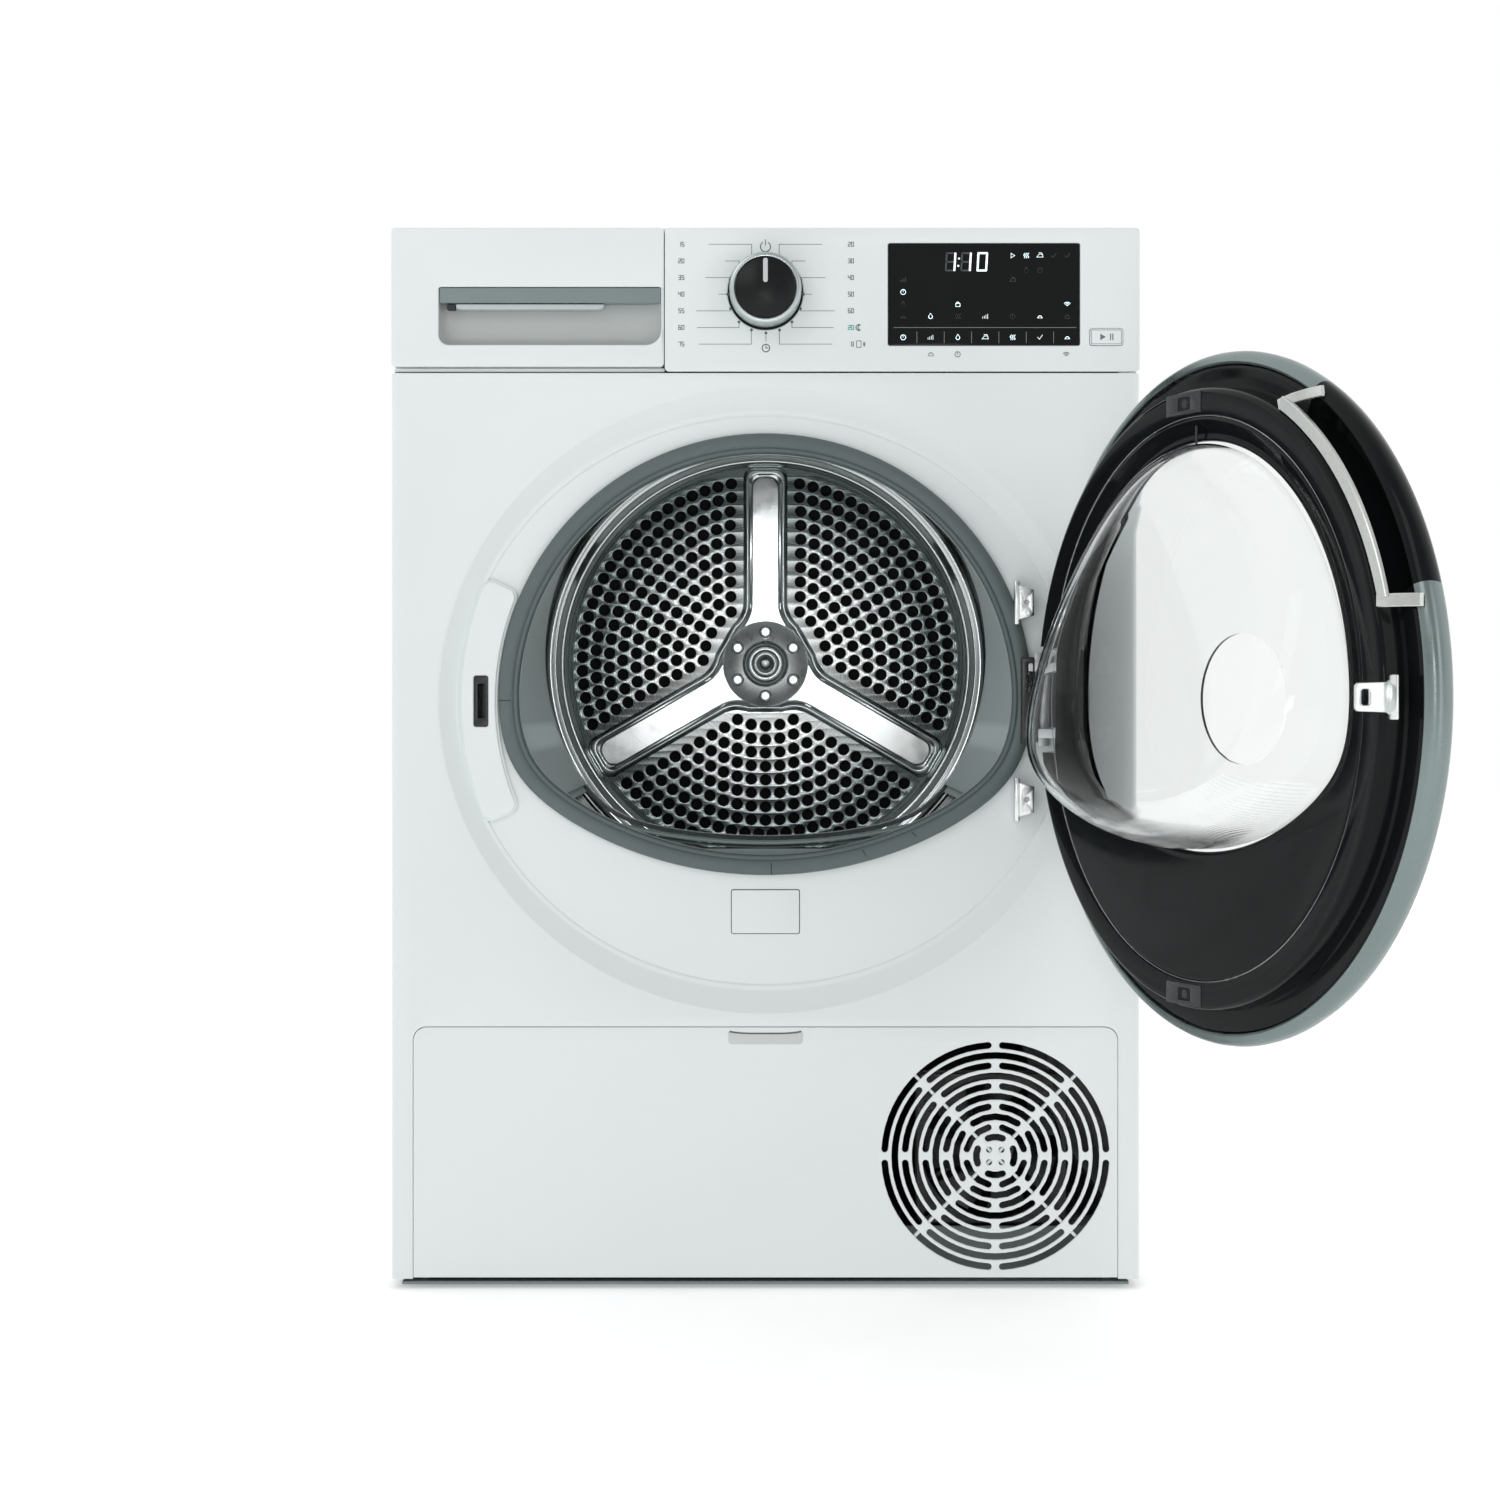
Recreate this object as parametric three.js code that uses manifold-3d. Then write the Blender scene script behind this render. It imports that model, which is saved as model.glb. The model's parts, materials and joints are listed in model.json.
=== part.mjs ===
// Front-loading heat-pump clothes dryer with its door standing open.
// Millimetres. +X is the right-hand side, +Y the rear, +Z up.
// The origin is on the floor, at the middle of the cabinet's footprint.
import * as THREE from 'three';
import { mergeVertices, toCreasedNormals } from 'three/addons/utils/BufferGeometryUtils.js';
import Module from 'manifold-3d';

const wasm = await Module();
wasm.setup();

// ---------------------------------------------------------------- driving dimensions
const WIDTH = 597;
const HEIGHT = 846;
const DEPTH = 600;
const SHEET = 1.2; // steel sheet of the casing and the drum
const GAP = 0.3; // space between pieces that touch
const SIDE = WIDTH / 2;
const FRONT = -DEPTH / 2;
const REAR = DEPTH / 2;

const UNDERSIDE = 3; // underside of the base above the floor
const SKIRT = 8; // lower edge of the casing
const SEAM = 730; // top edge of the front panel
const FASCIA_LOW = 731.2;
const DRAWER_LOW = 735;
const FOLD_BACK = FRONT + 23.2; // rear end of the front panel's and the fascia's sides
const WORKTOP_LOW = 829.5;

const OPENING_Z = 469; // middle of the door, its recess and the load opening
const OPENING_R = 197.7;
const OPENING_FLOOR = { z: 635.5, r: 290 }; // circle that flattens the opening's lower edge
const RECESS = { outer: [260.6, 250], inner: [247, 231], depth: 10 };
const RECESS_Y = FRONT + RECESS.depth;

const DRUM_Z = 507;
const DRUM_R = 280;
const DRUM_FRONT = -229.2;
const DRUM_REAR = 200;
const THROAT = { z: DRUM_Z, r: 181 };
const THROAT_FLOOR = { z: 861.5, r: 503 };
const THROAT_Y = -250;

const HINGE = { x: 230, y: FRONT - 18 };
const OPEN_ANGLE = THREE.MathUtils.degToRad(113.3);
const DOOR = [254, 247]; // half width and half height of the door's rim
const DOOR_BACK = 5; // distance from the front panel's plane to the closed door's back plate
const DOOR_FACE = 40;
const DOOR_FLANGE = 14; // width of the trim ring round the door's glass

const MOTOR = { x: 95, z: 130, y: 73 }; // motor axis, and the plane of the belt
const PULLEY_R = 5.6;
const BELT = 1.6;
const ROLLER = { x: 186, r: 22, y: -214 };
const FAN = { x: 183.3, z: 105.8, r: 54 };
const KNOB = { z: 794.6, r: 28.5 };
const FOOT = { x: 256, front: -240, rear: 250, r: 14.5 };

// ---------------------------------------------------------------- materials
const white = { color: 0xe9eceb, roughness: 0.42, metalness: 0 };
const whitePlastic = { color: 0xeceeed, roughness: 0.38, metalness: 0 };
const greyPlastic = { color: 0x6f7d7d, roughness: 0.5, metalness: 0 };
const paleGrey = { color: 0xb9c0bf, roughness: 0.55, metalness: 0 };
const black = { color: 0x15191a, roughness: 0.35, metalness: 0 };
const gloss = { color: 0x0a0c0d, roughness: 0.08, metalness: 0 };
const rubber = { color: 0x5b6868, roughness: 0.75, metalness: 0 };
const silver = { color: 0x9aa3a2, roughness: 0.3, metalness: 0.8 };
const stainless = { color: 0xb4bab9, roughness: 0.25, metalness: 0.95 };
const zinc = { color: 0xa6acae, roughness: 0.45, metalness: 0.8 };
const castIron = { color: 0x25282a, roughness: 0.6, metalness: 0.3 };
const aluminium = { color: 0xc4c8ca, roughness: 0.4, metalness: 0.85 };
const glass = { color: 0xdfe8e8, roughness: 0.05, metalness: 0 };
const board = { color: 0x1e5a38, roughness: 0.6, metalness: 0 };
const tankPlastic = { color: 0xd8dedd, roughness: 0.3, metalness: 0 };

// ---------------------------------------------------------------- shaping helpers
function outward(geometry) {
  // Turns a closed geometry's faces outward, whichever way it was drawn.
  const points = geometry.getAttribute('position');
  const index = geometry.getIndex();
  const a = new THREE.Vector3();
  const b = new THREE.Vector3();
  const c = new THREE.Vector3();
  let volume = 0;
  for (let i = 0; i < index.count; i += 3) {
    a.fromBufferAttribute(points, index.getX(i));
    b.fromBufferAttribute(points, index.getX(i + 1));
    c.fromBufferAttribute(points, index.getX(i + 2));
    volume += a.dot(b.cross(c));
  }
  if (volume < 0) {
    for (let i = 0; i < index.count; i += 3) {
      const first = index.getX(i);
      index.setX(i, index.getX(i + 1));
      index.setX(i + 1, first);
    }
  }
  return geometry;
}

function closed(geometry) {
  // Keeps only positions, merges shared corners and drops triangles without area.
  const bare = new THREE.BufferGeometry();
  bare.setAttribute('position', geometry.getAttribute('position').clone());
  if (geometry.getIndex()) bare.setIndex(geometry.getIndex().clone());
  const merged = mergeVertices(bare, 1e-4);
  const old = merged.getIndex();
  const kept = [];
  for (let i = 0; i < old.count; i += 3) {
    const [a, b, c] = [old.getX(i), old.getX(i + 1), old.getX(i + 2)];
    if (a !== b && b !== c && c !== a) kept.push(a, b, c);
  }
  merged.setIndex(kept);
  return outward(merged);
}

function toManifold(geometry) {
  const merged = closed(geometry);
  const mesh = new wasm.Mesh({
    numProp: 3,
    vertProperties: Float32Array.from(merged.getAttribute('position').array),
    triVerts: Uint32Array.from(merged.getIndex().array),
  });
  return new wasm.Manifold(mesh);
}

function toGeometry(manifold) {
  const mesh = manifold.getMesh();
  const geometry = new THREE.BufferGeometry();
  geometry.setAttribute('position', new THREE.BufferAttribute(Float32Array.from(mesh.vertProperties), 3));
  geometry.setIndex(new THREE.BufferAttribute(Uint32Array.from(mesh.triVerts), 1));
  return geometry;
}

function join(...geometries) {
  const solids = geometries.map(toManifold);
  return toGeometry(solids.reduce((whole, next) => whole.add(next)));
}

function cut(geometry, ...tools) {
  const solids = tools.map(toManifold);
  return toGeometry(solids.reduce((left, tool) => left.subtract(tool), toManifold(geometry)));
}

function block([x0, x1], [y0, y1], [z0, z1]) {
  const geometry = new THREE.BoxGeometry(x1 - x0, y1 - y0, z1 - z0);
  return geometry.translate((x0 + x1) / 2, (y0 + y1) / 2, (z0 + z1) / 2);
}

function extruded(outline, length, curveSegments) {
  return new THREE.ExtrudeGeometry(outline, { depth: length, bevelEnabled: false, curveSegments });
}

function panel(outline, back, front, curveSegments = 4) {
  // Outline in X and Z, from the plane y = back forward to y = front.
  return extruded(outline, back - front, curveSegments).rotateX(Math.PI / 2).translate(0, back, 0);
}

function upright(outline, low, high, curveSegments = 4) {
  // Outline in X and Y, from z = low to z = high.
  return extruded(outline, high - low, curveSegments).translate(0, 0, low);
}

function crosswise(outline, left, right, curveSegments = 4) {
  // Outline in Y and Z, from x = left to x = right.
  const axes = new THREE.Matrix4().makeBasis(
    new THREE.Vector3(0, 1, 0), new THREE.Vector3(0, 0, 1), new THREE.Vector3(1, 0, 0));
  return extruded(outline, right - left, curveSegments).applyMatrix4(axes).translate(left, 0, 0);
}

function turned(profile, x, z, segments = 24) {
  // Profile of [radius, y] points, turned about the line through (x, z) that runs along Y.
  const points = profile.map(([r, y]) => new THREE.Vector2(r, y));
  return new THREE.LatheGeometry(points, segments).translate(x, 0, z);
}

function turnedUp(profile, x, y, segments = 16) {
  // Profile of [radius, z] points, turned about the vertical line through (x, y).
  const points = profile.map(([r, z]) => new THREE.Vector2(r, z));
  return new THREE.LatheGeometry(points, segments).rotateX(Math.PI / 2).translate(x, y, 0);
}

function rod(x, z, radius, y0, y1, segments = 20) {
  return turned([[0, y0], [radius, y0], [radius, y1], [0, y1]], x, z, segments);
}

function crossRod(y, z, radius, x0, x1, segments = 16) {
  const geometry = new THREE.CylinderGeometry(radius, radius, x1 - x0, segments);
  return geometry.rotateZ(Math.PI / 2).translate((x0 + x1) / 2, y, z);
}

function loft(loops, ring) {
  // Skins equal loops of points in turn: back to the first loop for a ring, else with closed ends.
  const count = loops[0].length;
  const corners = loops.flat().flatMap((p) => [p.x, p.y, p.z]);
  const index = [];
  const strips = ring ? loops.length : loops.length - 1;
  for (let i = 0; i < strips; i += 1) {
    const here = i * count;
    const next = ((i + 1) % loops.length) * count;
    for (let j = 0; j < count; j += 1) {
      const k = (j + 1) % count;
      index.push(here + j, here + k, next + k, here + j, next + k, next + j);
    }
  }
  if (!ring) {
    const last = loops.length - 1;
    for (const [loop, start, turn] of [[loops[0], 0, 1], [loops[last], last * count, -1]]) {
      const middle = loop.reduce((sum, p) => sum.add(p), new THREE.Vector3()).divideScalar(count);
      const hub = corners.length / 3;
      corners.push(middle.x, middle.y, middle.z);
      for (let j = 0; j < count; j += 1) {
        const k = (j + 1) % count;
        index.push(hub, start + (turn > 0 ? k : j), start + (turn > 0 ? j : k));
      }
    }
  }
  const geometry = new THREE.BufferGeometry();
  geometry.setAttribute('position', new THREE.Float32BufferAttribute(corners, 3));
  geometry.setIndex(index);
  return outward(geometry);
}

function rectangle([x0, x1], [z0, z1], radius = 0) {
  const shape = new THREE.Shape();
  if (!radius) {
    shape.moveTo(x0, z0).lineTo(x1, z0).lineTo(x1, z1).lineTo(x0, z1);
    return shape;
  }
  shape.moveTo(x0 + radius, z0);
  shape.absarc(x1 - radius, z0 + radius, radius, -Math.PI / 2, 0);
  shape.absarc(x1 - radius, z1 - radius, radius, 0, Math.PI / 2);
  shape.absarc(x0 + radius, z1 - radius, radius, Math.PI / 2, Math.PI);
  shape.absarc(x0 + radius, z0 + radius, radius, Math.PI, 1.5 * Math.PI);
  return shape;
}

function outlineOf(points) {
  return new THREE.Shape(points.map(([u, v]) => new THREE.Vector2(u, v)));
}

const ROUND = 40; // points round the door, its seal and the throat

function roundLoop(radiusAt, y) {
  // A loop at depth y whose distance from the opening's middle is radiusAt(angle).
  return Array.from({ length: ROUND }, (_, i) => {
    const angle = (2 * Math.PI * (i + 0.5)) / ROUND;
    const r = radiusAt(angle);
    return new THREE.Vector3(r * Math.cos(angle), y, OPENING_Z + r * Math.sin(angle));
  });
}

function ellipseLoop([a, b], y) {
  return Array.from({ length: ROUND }, (_, i) => {
    const angle = (2 * Math.PI * (i + 0.5)) / ROUND;
    return new THREE.Vector3(a * Math.cos(angle), y, OPENING_Z + b * Math.sin(angle));
  });
}

function shapeOf(loop) {
  return outlineOf(loop.map((p) => [p.x, p.z]));
}

function insideCircles(circles, offset) {
  // Distance from the opening's middle to the nearest of the circles, with rounded corners.
  const sharpness = 20;
  return (angle) => {
    const sum = circles.reduce((total, circle) => {
      const rise = circle.z - OPENING_Z;
      const along = rise * Math.sin(angle);
      const r = circle.r + offset;
      const reach = along + Math.sqrt(along * along - rise * rise + r * r);
      return total + reach ** -sharpness;
    }, 0);
    return sum ** (-1 / sharpness);
  };
}

const OPENING_CIRCLES = [{ z: OPENING_Z, r: OPENING_R }, OPENING_FLOOR];
const openingLoop = (offset, y) => roundLoop(insideCircles(OPENING_CIRCLES, offset), y);
const throatLoop = (offset, y) => roundLoop(insideCircles([THROAT, THROAT_FLOOR], offset), y);
const inset = ([a, b], d) => [a - d, b - d];

// ---------------------------------------------------------------- casing
function baseChassis() {
  const wall = 3.5;
  const tray = cut(
    block([-290, 290], [-268, 286], [UNDERSIDE, 44]),
    block([-290 + wall, 290 - wall], [-268 + wall, 286 - wall], [UNDERSIDE + wall, 50]));
  const frontLip = block([-290, 290], [-296.5, -267], [UNDERSIDE, UNDERSIDE + 2.2]);
  const pieces = [tray, frontLip];
  const holes = [];
  for (const side of [-1, 1]) {
    for (const y of [FOOT.front, FOOT.rear]) {
      pieces.push(turnedUp([[0, 5], [26, 5], [26, 44], [0, 44]], side * FOOT.x, y));
      holes.push(turnedUp([[0, 0], [FOOT.r + 3, 0], [FOOT.r + 3, 20], [0, 20]], side * FOOT.x, y));
      holes.push(turnedUp([[0, 10], [5.3, 10], [5.3, 60], [0, 60]], side * FOOT.x, y));
    }
    const post = [side * 270, side * 275].sort((a, b) => a - b);
    pieces.push(block(post, [-286, -281], [UNDERSIDE + 1, 17.5]));
    pieces.push(block(post, [-296, -281], [12.4, 17.5]));
    const pin = [side * 262, side * 271].sort((a, b) => a - b);
    pieces.push(crossRod(FLAP.hingeY, FLAP.hingeZ, 2.5, ...pin));
  }
  return cut(join(...pieces), ...holes);
}

function levellingFoot(x, y) {
  const profile = [[0, 0], [FOOT.r, 0], [FOOT.r, 8], [5, 12], [5, 40], [0, 40]];
  return turnedUp(profile, x, y);
}

function sidePanel(side) {
  const flange = 14;
  const plan = outlineOf([
    [SIDE, FOLD_BACK + 0.4], [SIDE, REAR - 10], [SIDE - flange, REAR - 10], [SIDE - flange, REAR - 10 - SHEET],
    [SIDE - SHEET, REAR - 10 - SHEET], [SIDE - SHEET, FOLD_BACK + 0.4 + SHEET],
    [SIDE - flange, FOLD_BACK + 0.4 + SHEET], [SIDE - flange, FOLD_BACK + 0.4],
  ]);
  const geometry = upright(plan, SKIRT, WORKTOP_LOW - GAP);
  return side > 0 ? geometry : geometry.scale(-1, 1, 1);
}

function rearPanel() {
  const y = REAR - 9.7;
  const bulge = 215;
  const sheet = cut(
    panel(rectangle([-296, 296], [12, 826], 4), y + SHEET, y),
    rod(0, DRUM_Z, bulge - 1, y - 5, y + 5, 32),
    block([-246, -214], [y - 5, y + 5], [97, 123]),
    ...Array.from({ length: 7 }, (_, i) => block([60, 220], [y - 5, y + 5], [60 + 14 * i, 66 + 14 * i])));
  const dome = turned([
    [0, REAR - SHEET], [bulge - 10, REAR - SHEET], [bulge - 2, y], [bulge, y], [bulge, y + SHEET],
    [bulge - 8, REAR], [0, REAR],
  ], 0, DRUM_Z, 32);
  return join(sheet, dome);
}

function worktop() {
  return upright(rectangle([-SIDE, SIDE], [FOLD_BACK + 0.4, REAR], 4), WORKTOP_LOW, HEIGHT);
}

function frontPanel() {
  const bend = 5;
  const plan = new THREE.Shape();
  plan.moveTo(-SIDE, FOLD_BACK);
  plan.lineTo(-SIDE, FRONT + bend);
  plan.absarc(-SIDE + bend, FRONT + bend, bend, Math.PI, 1.5 * Math.PI);
  plan.absarc(SIDE - bend, FRONT + bend, bend, 1.5 * Math.PI, 2 * Math.PI);
  plan.lineTo(SIDE, FOLD_BACK).lineTo(SIDE - SHEET, FOLD_BACK);
  plan.absarc(SIDE - bend, FRONT + bend, bend - SHEET, 2 * Math.PI, 1.5 * Math.PI, true);
  plan.absarc(-SIDE + bend, FRONT + bend, bend - SHEET, 1.5 * Math.PI, Math.PI, true);
  plan.lineTo(-SIDE + SHEET, FOLD_BACK);
  const flapOpening = rectangle([-281.1, 281.1], [-20, 209.1], 10.8);
  const face = cut(
    upright(plan, SKIRT, SEAM),
    panel(shapeOf(ellipseLoop(RECESS.outer, 0)), FRONT + 4, FRONT - 4),
    panel(flapOpening, FRONT + 4, FRONT - 4));
  const [outer, inner] = [inset(RECESS.outer, -0.4), RECESS.inner];
  const slope = loft([
    ellipseLoop(outer, FRONT), ellipseLoop(inner, RECESS_Y),
    ellipseLoop(inner, RECESS_Y + SHEET), ellipseLoop(outer, FRONT + SHEET),
  ], true);
  const floor = shapeOf(ellipseLoop(inset(inner, -0.4), 0));
  floor.holes.push(shapeOf(openingLoop(12, 0)));
  const catchSlot = block([-236, -219], [RECESS_Y - 5, RECESS_Y + 5], [446, 491]);
  return cut(join(face, slope, panel(floor, RECESS_Y + SHEET, RECESS_Y)), catchSlot);
}

function controlPanel() {
  const left = -80.3;
  const wall = 2.6;
  const box = cut(
    upright(rectangle([left, SIDE], [FRONT, FOLD_BACK], 3), FASCIA_LOW, HEIGHT),
    block([left + wall, SIDE - wall], [FRONT + wall, FOLD_BACK + 5], [FASCIA_LOW + wall, HEIGHT - wall]));
  const strip = block([-SIDE, left + 4], [FRONT, FOLD_BACK], [FASCIA_LOW, DRAWER_LOW - 0.5]);
  return cut(
    join(box, strip),
    block([97.7, 250.7], [FRONT - 5, FRONT + 8], [752, 833.6]),
    block([258.6, 284.9], [FRONT - 5, FRONT + 8], [752, 765.4]),
    rod(0, KNOB.z, 5, FRONT - 5, FRONT + 8, 20));
}

function displayWindow() {
  return block([98, 250.4], [FRONT, FRONT + 3], [752.3, 833.3]);
}

function controlBoard() {
  const y = FRONT + 14;
  return join(
    block([-25, 285], [y, y + 1.6], [750, 826]),
    block([-10, 10], [y - 6, y + 0.5], [784.6, 804.6]),
    block([105, 243], [y - 9, y + 0.5], [757, 825]),
    block([266, 278], [y - 0.8, y + 0.5], [753, 765]),
    block([30, 80], [y - 8, y + 0.5], [756, 782]));
}

function programmeKnob() {
  const base = FRONT - 0.6;
  const face = FRONT - 20;
  const cap = turned([
    [0, base], [KNOB.r - 1.5, base], [KNOB.r, face + 2], [KNOB.r - 1, face], [KNOB.r - 4, face + 1.2],
    [KNOB.r - 5, face + 0.4], [0, face + 0.4],
  ], 0, KNOB.z, 28);
  const shaft = rod(0, KNOB.z, 3, base - 1, FRONT + 7.6, 16);
  const pointer = block([-2, 2], [face - 0.4, face + 2], [KNOB.z + 4, KNOB.z + KNOB.r - 0.5]);
  return join(cap, shaft, pointer);
}

function startButton() {
  return join(
    panel(rectangle([259, 284.5], [752.4, 765], 1.5), FRONT + 6, FRONT - 0.6, 3),
    block([257, 286.5], [FRONT + 3.1, FRONT + 6], [750.5, 767]),
    block([270, 274], [FRONT + 5, FRONT + 11.5], [757, 761]));
}

// ---------------------------------------------------------------- condensed-water drawer
const DRAWER = { left: -SIDE, right: -80.9, grip: [-260.5, -90], gripZ: [752.7, 798.6] };

function drawerFront() {
  const wall = 2.4;
  const shell = cut(
    upright(rectangle([DRAWER.left, DRAWER.right], [FRONT, FOLD_BACK], 3), DRAWER_LOW, HEIGHT),
    block([DRAWER.left + wall, DRAWER.right - wall], [FRONT + wall, FOLD_BACK + 5],
      [DRAWER_LOW + wall, HEIGHT - wall]));
  const pocketBack = FRONT + 20;
  const pocketBody = block([DRAWER.grip[0] - wall, DRAWER.grip[1] + wall], [FRONT + 1, pocketBack + wall],
    [DRAWER.gripZ[0] - wall, DRAWER.gripZ[1] + wall]);
  const scoop = new THREE.Shape();
  scoop.moveTo(FRONT - 2, DRAWER.gripZ[0]);
  scoop.quadraticCurveTo(pocketBack, DRAWER.gripZ[0] + 2, pocketBack, DRAWER.gripZ[0] + 18);
  scoop.lineTo(pocketBack, DRAWER.gripZ[1]).lineTo(FRONT - 2, DRAWER.gripZ[1]);
  return cut(join(shell, pocketBody), crosswise(scoop, DRAWER.grip[0], DRAWER.grip[1], 6));
}

function drawerGrip() {
  const [low, high] = [786.2, DRAWER.gripZ[1] - GAP];
  const section = outlineOf([
    [FRONT, low], [FRONT + 3, low - 5], [FRONT + 5, low - 5], [FRONT + 5, high], [FRONT, high],
  ]);
  return crosswise(section, DRAWER.grip[0] + GAP, DRAWER.grip[1] - GAP);
}

function tankOutline(grow, top) {
  // Cross-section of the tank in X and Z: it dips beside the drum and is shallow above it.
  return outlineOf([
    [-283 - grow, 748 - grow], [-175 + grow, 748 - grow], [-175 + grow, 790 - grow], [-92 + grow, 790 - grow],
    [-92 + grow, top], [-283 - grow, top],
  ]);
}

const TANK = { front: -274, rear: 165, top: 824, wall: 2.5 };

function waterTank() {
  // An open trough under a lid.
  const { front, rear, top, wall } = TANK;
  const inside = panel(tankOutline(-wall, top + 10), rear - wall, front + wall);
  return cut(panel(tankOutline(0, top - wall - GAP), rear, front), inside);
}

function tankLid() {
  const { front, rear, top, wall } = TANK;
  const filler = block([-150, -105], [rear - 80, rear - 20], [top - 10, top + 10]);
  return cut(block([-283, -92], [front, rear], [top - wall, top]), filler);
}

function tankTray() {
  const [front, rear] = [-268, 172];
  const outside = panel(tankOutline(2, 806), rear, front);
  return cut(outside, panel(tankOutline(0.6, 830), rear - 1.4, front - 5));
}

// ---------------------------------------------------------------- load opening
function frontBulkhead() {
  const front = RECESS_Y + 6.6;
  const sheetBack = front + 2;
  const skin = 3;
  const plate = panel(rectangle([-284, 284], [215, 726], 30), sheetBack, front);
  const sleeve = loft([openingLoop(skin, front), throatLoop(skin, THROAT_Y), throatLoop(skin, -234)], false);
  const duct = block([-154, 154], [front, -250.5], [205, 392]);
  const pins = [-1, 1].map((side) => rod(side * ROLLER.x, rollerHeight(), 4, front + 1, ROLLER.y + 11, 12));
  const passage = loft([
    openingLoop(-0.4, front - 2), openingLoop(-0.4, front), throatLoop(0, THROAT_Y), throatLoop(0, -230),
  ], false);
  const filterShaft = block([-151, 151], [front + 2.4, -253], [200, 430]);
  const catchHole = block([-236, -219], [front - 2, sheetBack + 2], [446, 491]);
  return cut(join(plate, sleeve, duct, ...pins), passage, filterShaft, catchHole);
}

function doorSeal() {
  const section = [
    [16, RECESS_Y - GAP], [15.5, RECESS_Y - 4.5], [10, RECESS_Y - 7.4], [3, RECESS_Y - 6.5],
    [0, RECESS_Y - 1], [0, RECESS_Y + 6], [7, RECESS_Y + 6], [7, RECESS_Y - GAP],
  ];
  return loft(section.map(([offset, y]) => openingLoop(offset, y)), true);
}

function latchPlate() {
  const [low, high] = [376.2, 560.3];
  const outer = [RECESS.inner[0] - 0.8, RECESS.inner[1]];
  const inner = OPENING_R + 16.6;
  const shape = new THREE.Shape();
  const outerAngle = (z) => Math.asin((z - OPENING_Z) / outer[1]);
  const innerAngle = (z) => Math.asin((z - OPENING_Z) / inner);
  shape.absellipse(0, OPENING_Z, ...outer, Math.PI - outerAngle(high), Math.PI - outerAngle(low), false);
  shape.absarc(0, OPENING_Z, inner, Math.PI - innerAngle(low), Math.PI - innerAngle(high), true);
  return cut(
    panel(shape, RECESS_Y - GAP, RECESS_Y - 3.5, 10),
    block([-234, -221], [RECESS_Y - 8, RECESS_Y + 2], [447.4, 489.6]));
}

function doorCatch() {
  const shell = block([-233.4, -221.7], [RECESS_Y - 3, RECESS_Y + 22], [448, 489]);
  return cut(shell, block([-230, -224.4], [RECESS_Y - 5, RECESS_Y + 20], [455, 483]));
}

function hingeBracket() {
  const y = RECESS_Y - GAP;
  const foot = block([215, 225], [y - 2.5, y], [431, 507]);
  const arm = outlineOf([
    [215, y - 1], [224, y - 1], [HINGE.x + 3.5, HINGE.y], [HINGE.x, HINGE.y - 4], [HINGE.x - 4, HINGE.y],
    [213, FRONT - 7], [205, FRONT - 7], [205, FRONT + 1], [215, FRONT + 1],
  ]);
  const lugs = [[438, 446], [492, 500]].map(([low, high]) => upright(arm, low, high));
  const cover = join(
    block([203.5, 207], [FRONT - 8, FRONT + 1.5], [434.5, 503.5]),
    block([203.5, 214], [FRONT - 8, FRONT - 5.5], [434.5, 503.5]));
  const pin = turnedUp([[0, 440], [2.8, 440], [2.8, 498], [0, 498]], HINGE.x, HINGE.y, 16);
  return join(foot, ...lugs, cover, pin);
}

function lintFilter() {
  const [front, rear] = [RECESS_Y + 9.6, -253.6];
  const half = 148;
  const steps = 8;
  const lidEdge = (drop) => Array.from({ length: steps + 1 }, (_, i) => {
    const x = half * ((2 * i) / steps - 1);
    return [x, THROAT_FLOOR.z - Math.sqrt((THROAT_FLOOR.r + drop) ** 2 - x * x)];
  });
  const bar = panel(outlineOf([...lidEdge(8), ...lidEdge(4).reverse()]), rear, front);
  const frame = cut(
    block([-146, 146], [front, rear], [222, 352]),
    block([-143.5, 143.5], [front + 2, rear - 2], [224.5, 400]),
    ...[-70, 70].map((x) => block([x - 60, x + 60], [front - 2, rear + 2], [240, 335])));
  const slots = [-21.5, 22.5].map((x) => block([x - 10, x + 10], [front + 4, front + 12], [330, 380]));
  return cut(join(bar, frame), ...slots);
}

// ---------------------------------------------------------------- drum
function drumShell() {
  return turned([
    [186, DRUM_FRONT - 11], [187.2, DRUM_FRONT - 11], [187.2, DRUM_FRONT], [DRUM_R, DRUM_FRONT],
    [DRUM_R, DRUM_REAR], [DRUM_R - SHEET, DRUM_REAR], [DRUM_R - SHEET, DRUM_FRONT + SHEET],
    [186, DRUM_FRONT + SHEET], [186, DRUM_FRONT - 11],
  ], 0, DRUM_Z, 36);
}

function drumRearWall() {
  const y = DRUM_REAR - 10;
  const front = [[10.4, y], [193, y], [197, y - 4], [207, y - 4], [218, y + 6]];
  const rim = DRUM_R - SHEET - 1.6;
  const back = front.map(([r, d]) => [r, d + SHEET]).reverse();
  return turned([...front, [rim, y + 6], [rim, y + 6 + SHEET], ...back, front[0]], 0, DRUM_Z, 32);
}

function drumStar() {
  const y = DRUM_REAR - 10 - GAP;
  const arms = [90, 210, 330].map((degrees) => {
    const geometry = panel(rectangle([0, 186], [-18, 18], 6), y, y - 4, 3);
    return geometry.rotateY(-THREE.MathUtils.degToRad(degrees)).translate(0, 0, DRUM_Z);
  });
  const hub = turned([
    [0, y - 14], [8, y - 14], [10, y - 12], [10, y - 9], [22, y - 9], [24, y - 5], [44, y - 5], [44, y],
    [10, y], [10, 264], [0, 264],
  ], 0, DRUM_Z, 24);
  return join(...arms, hub);
}

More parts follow.
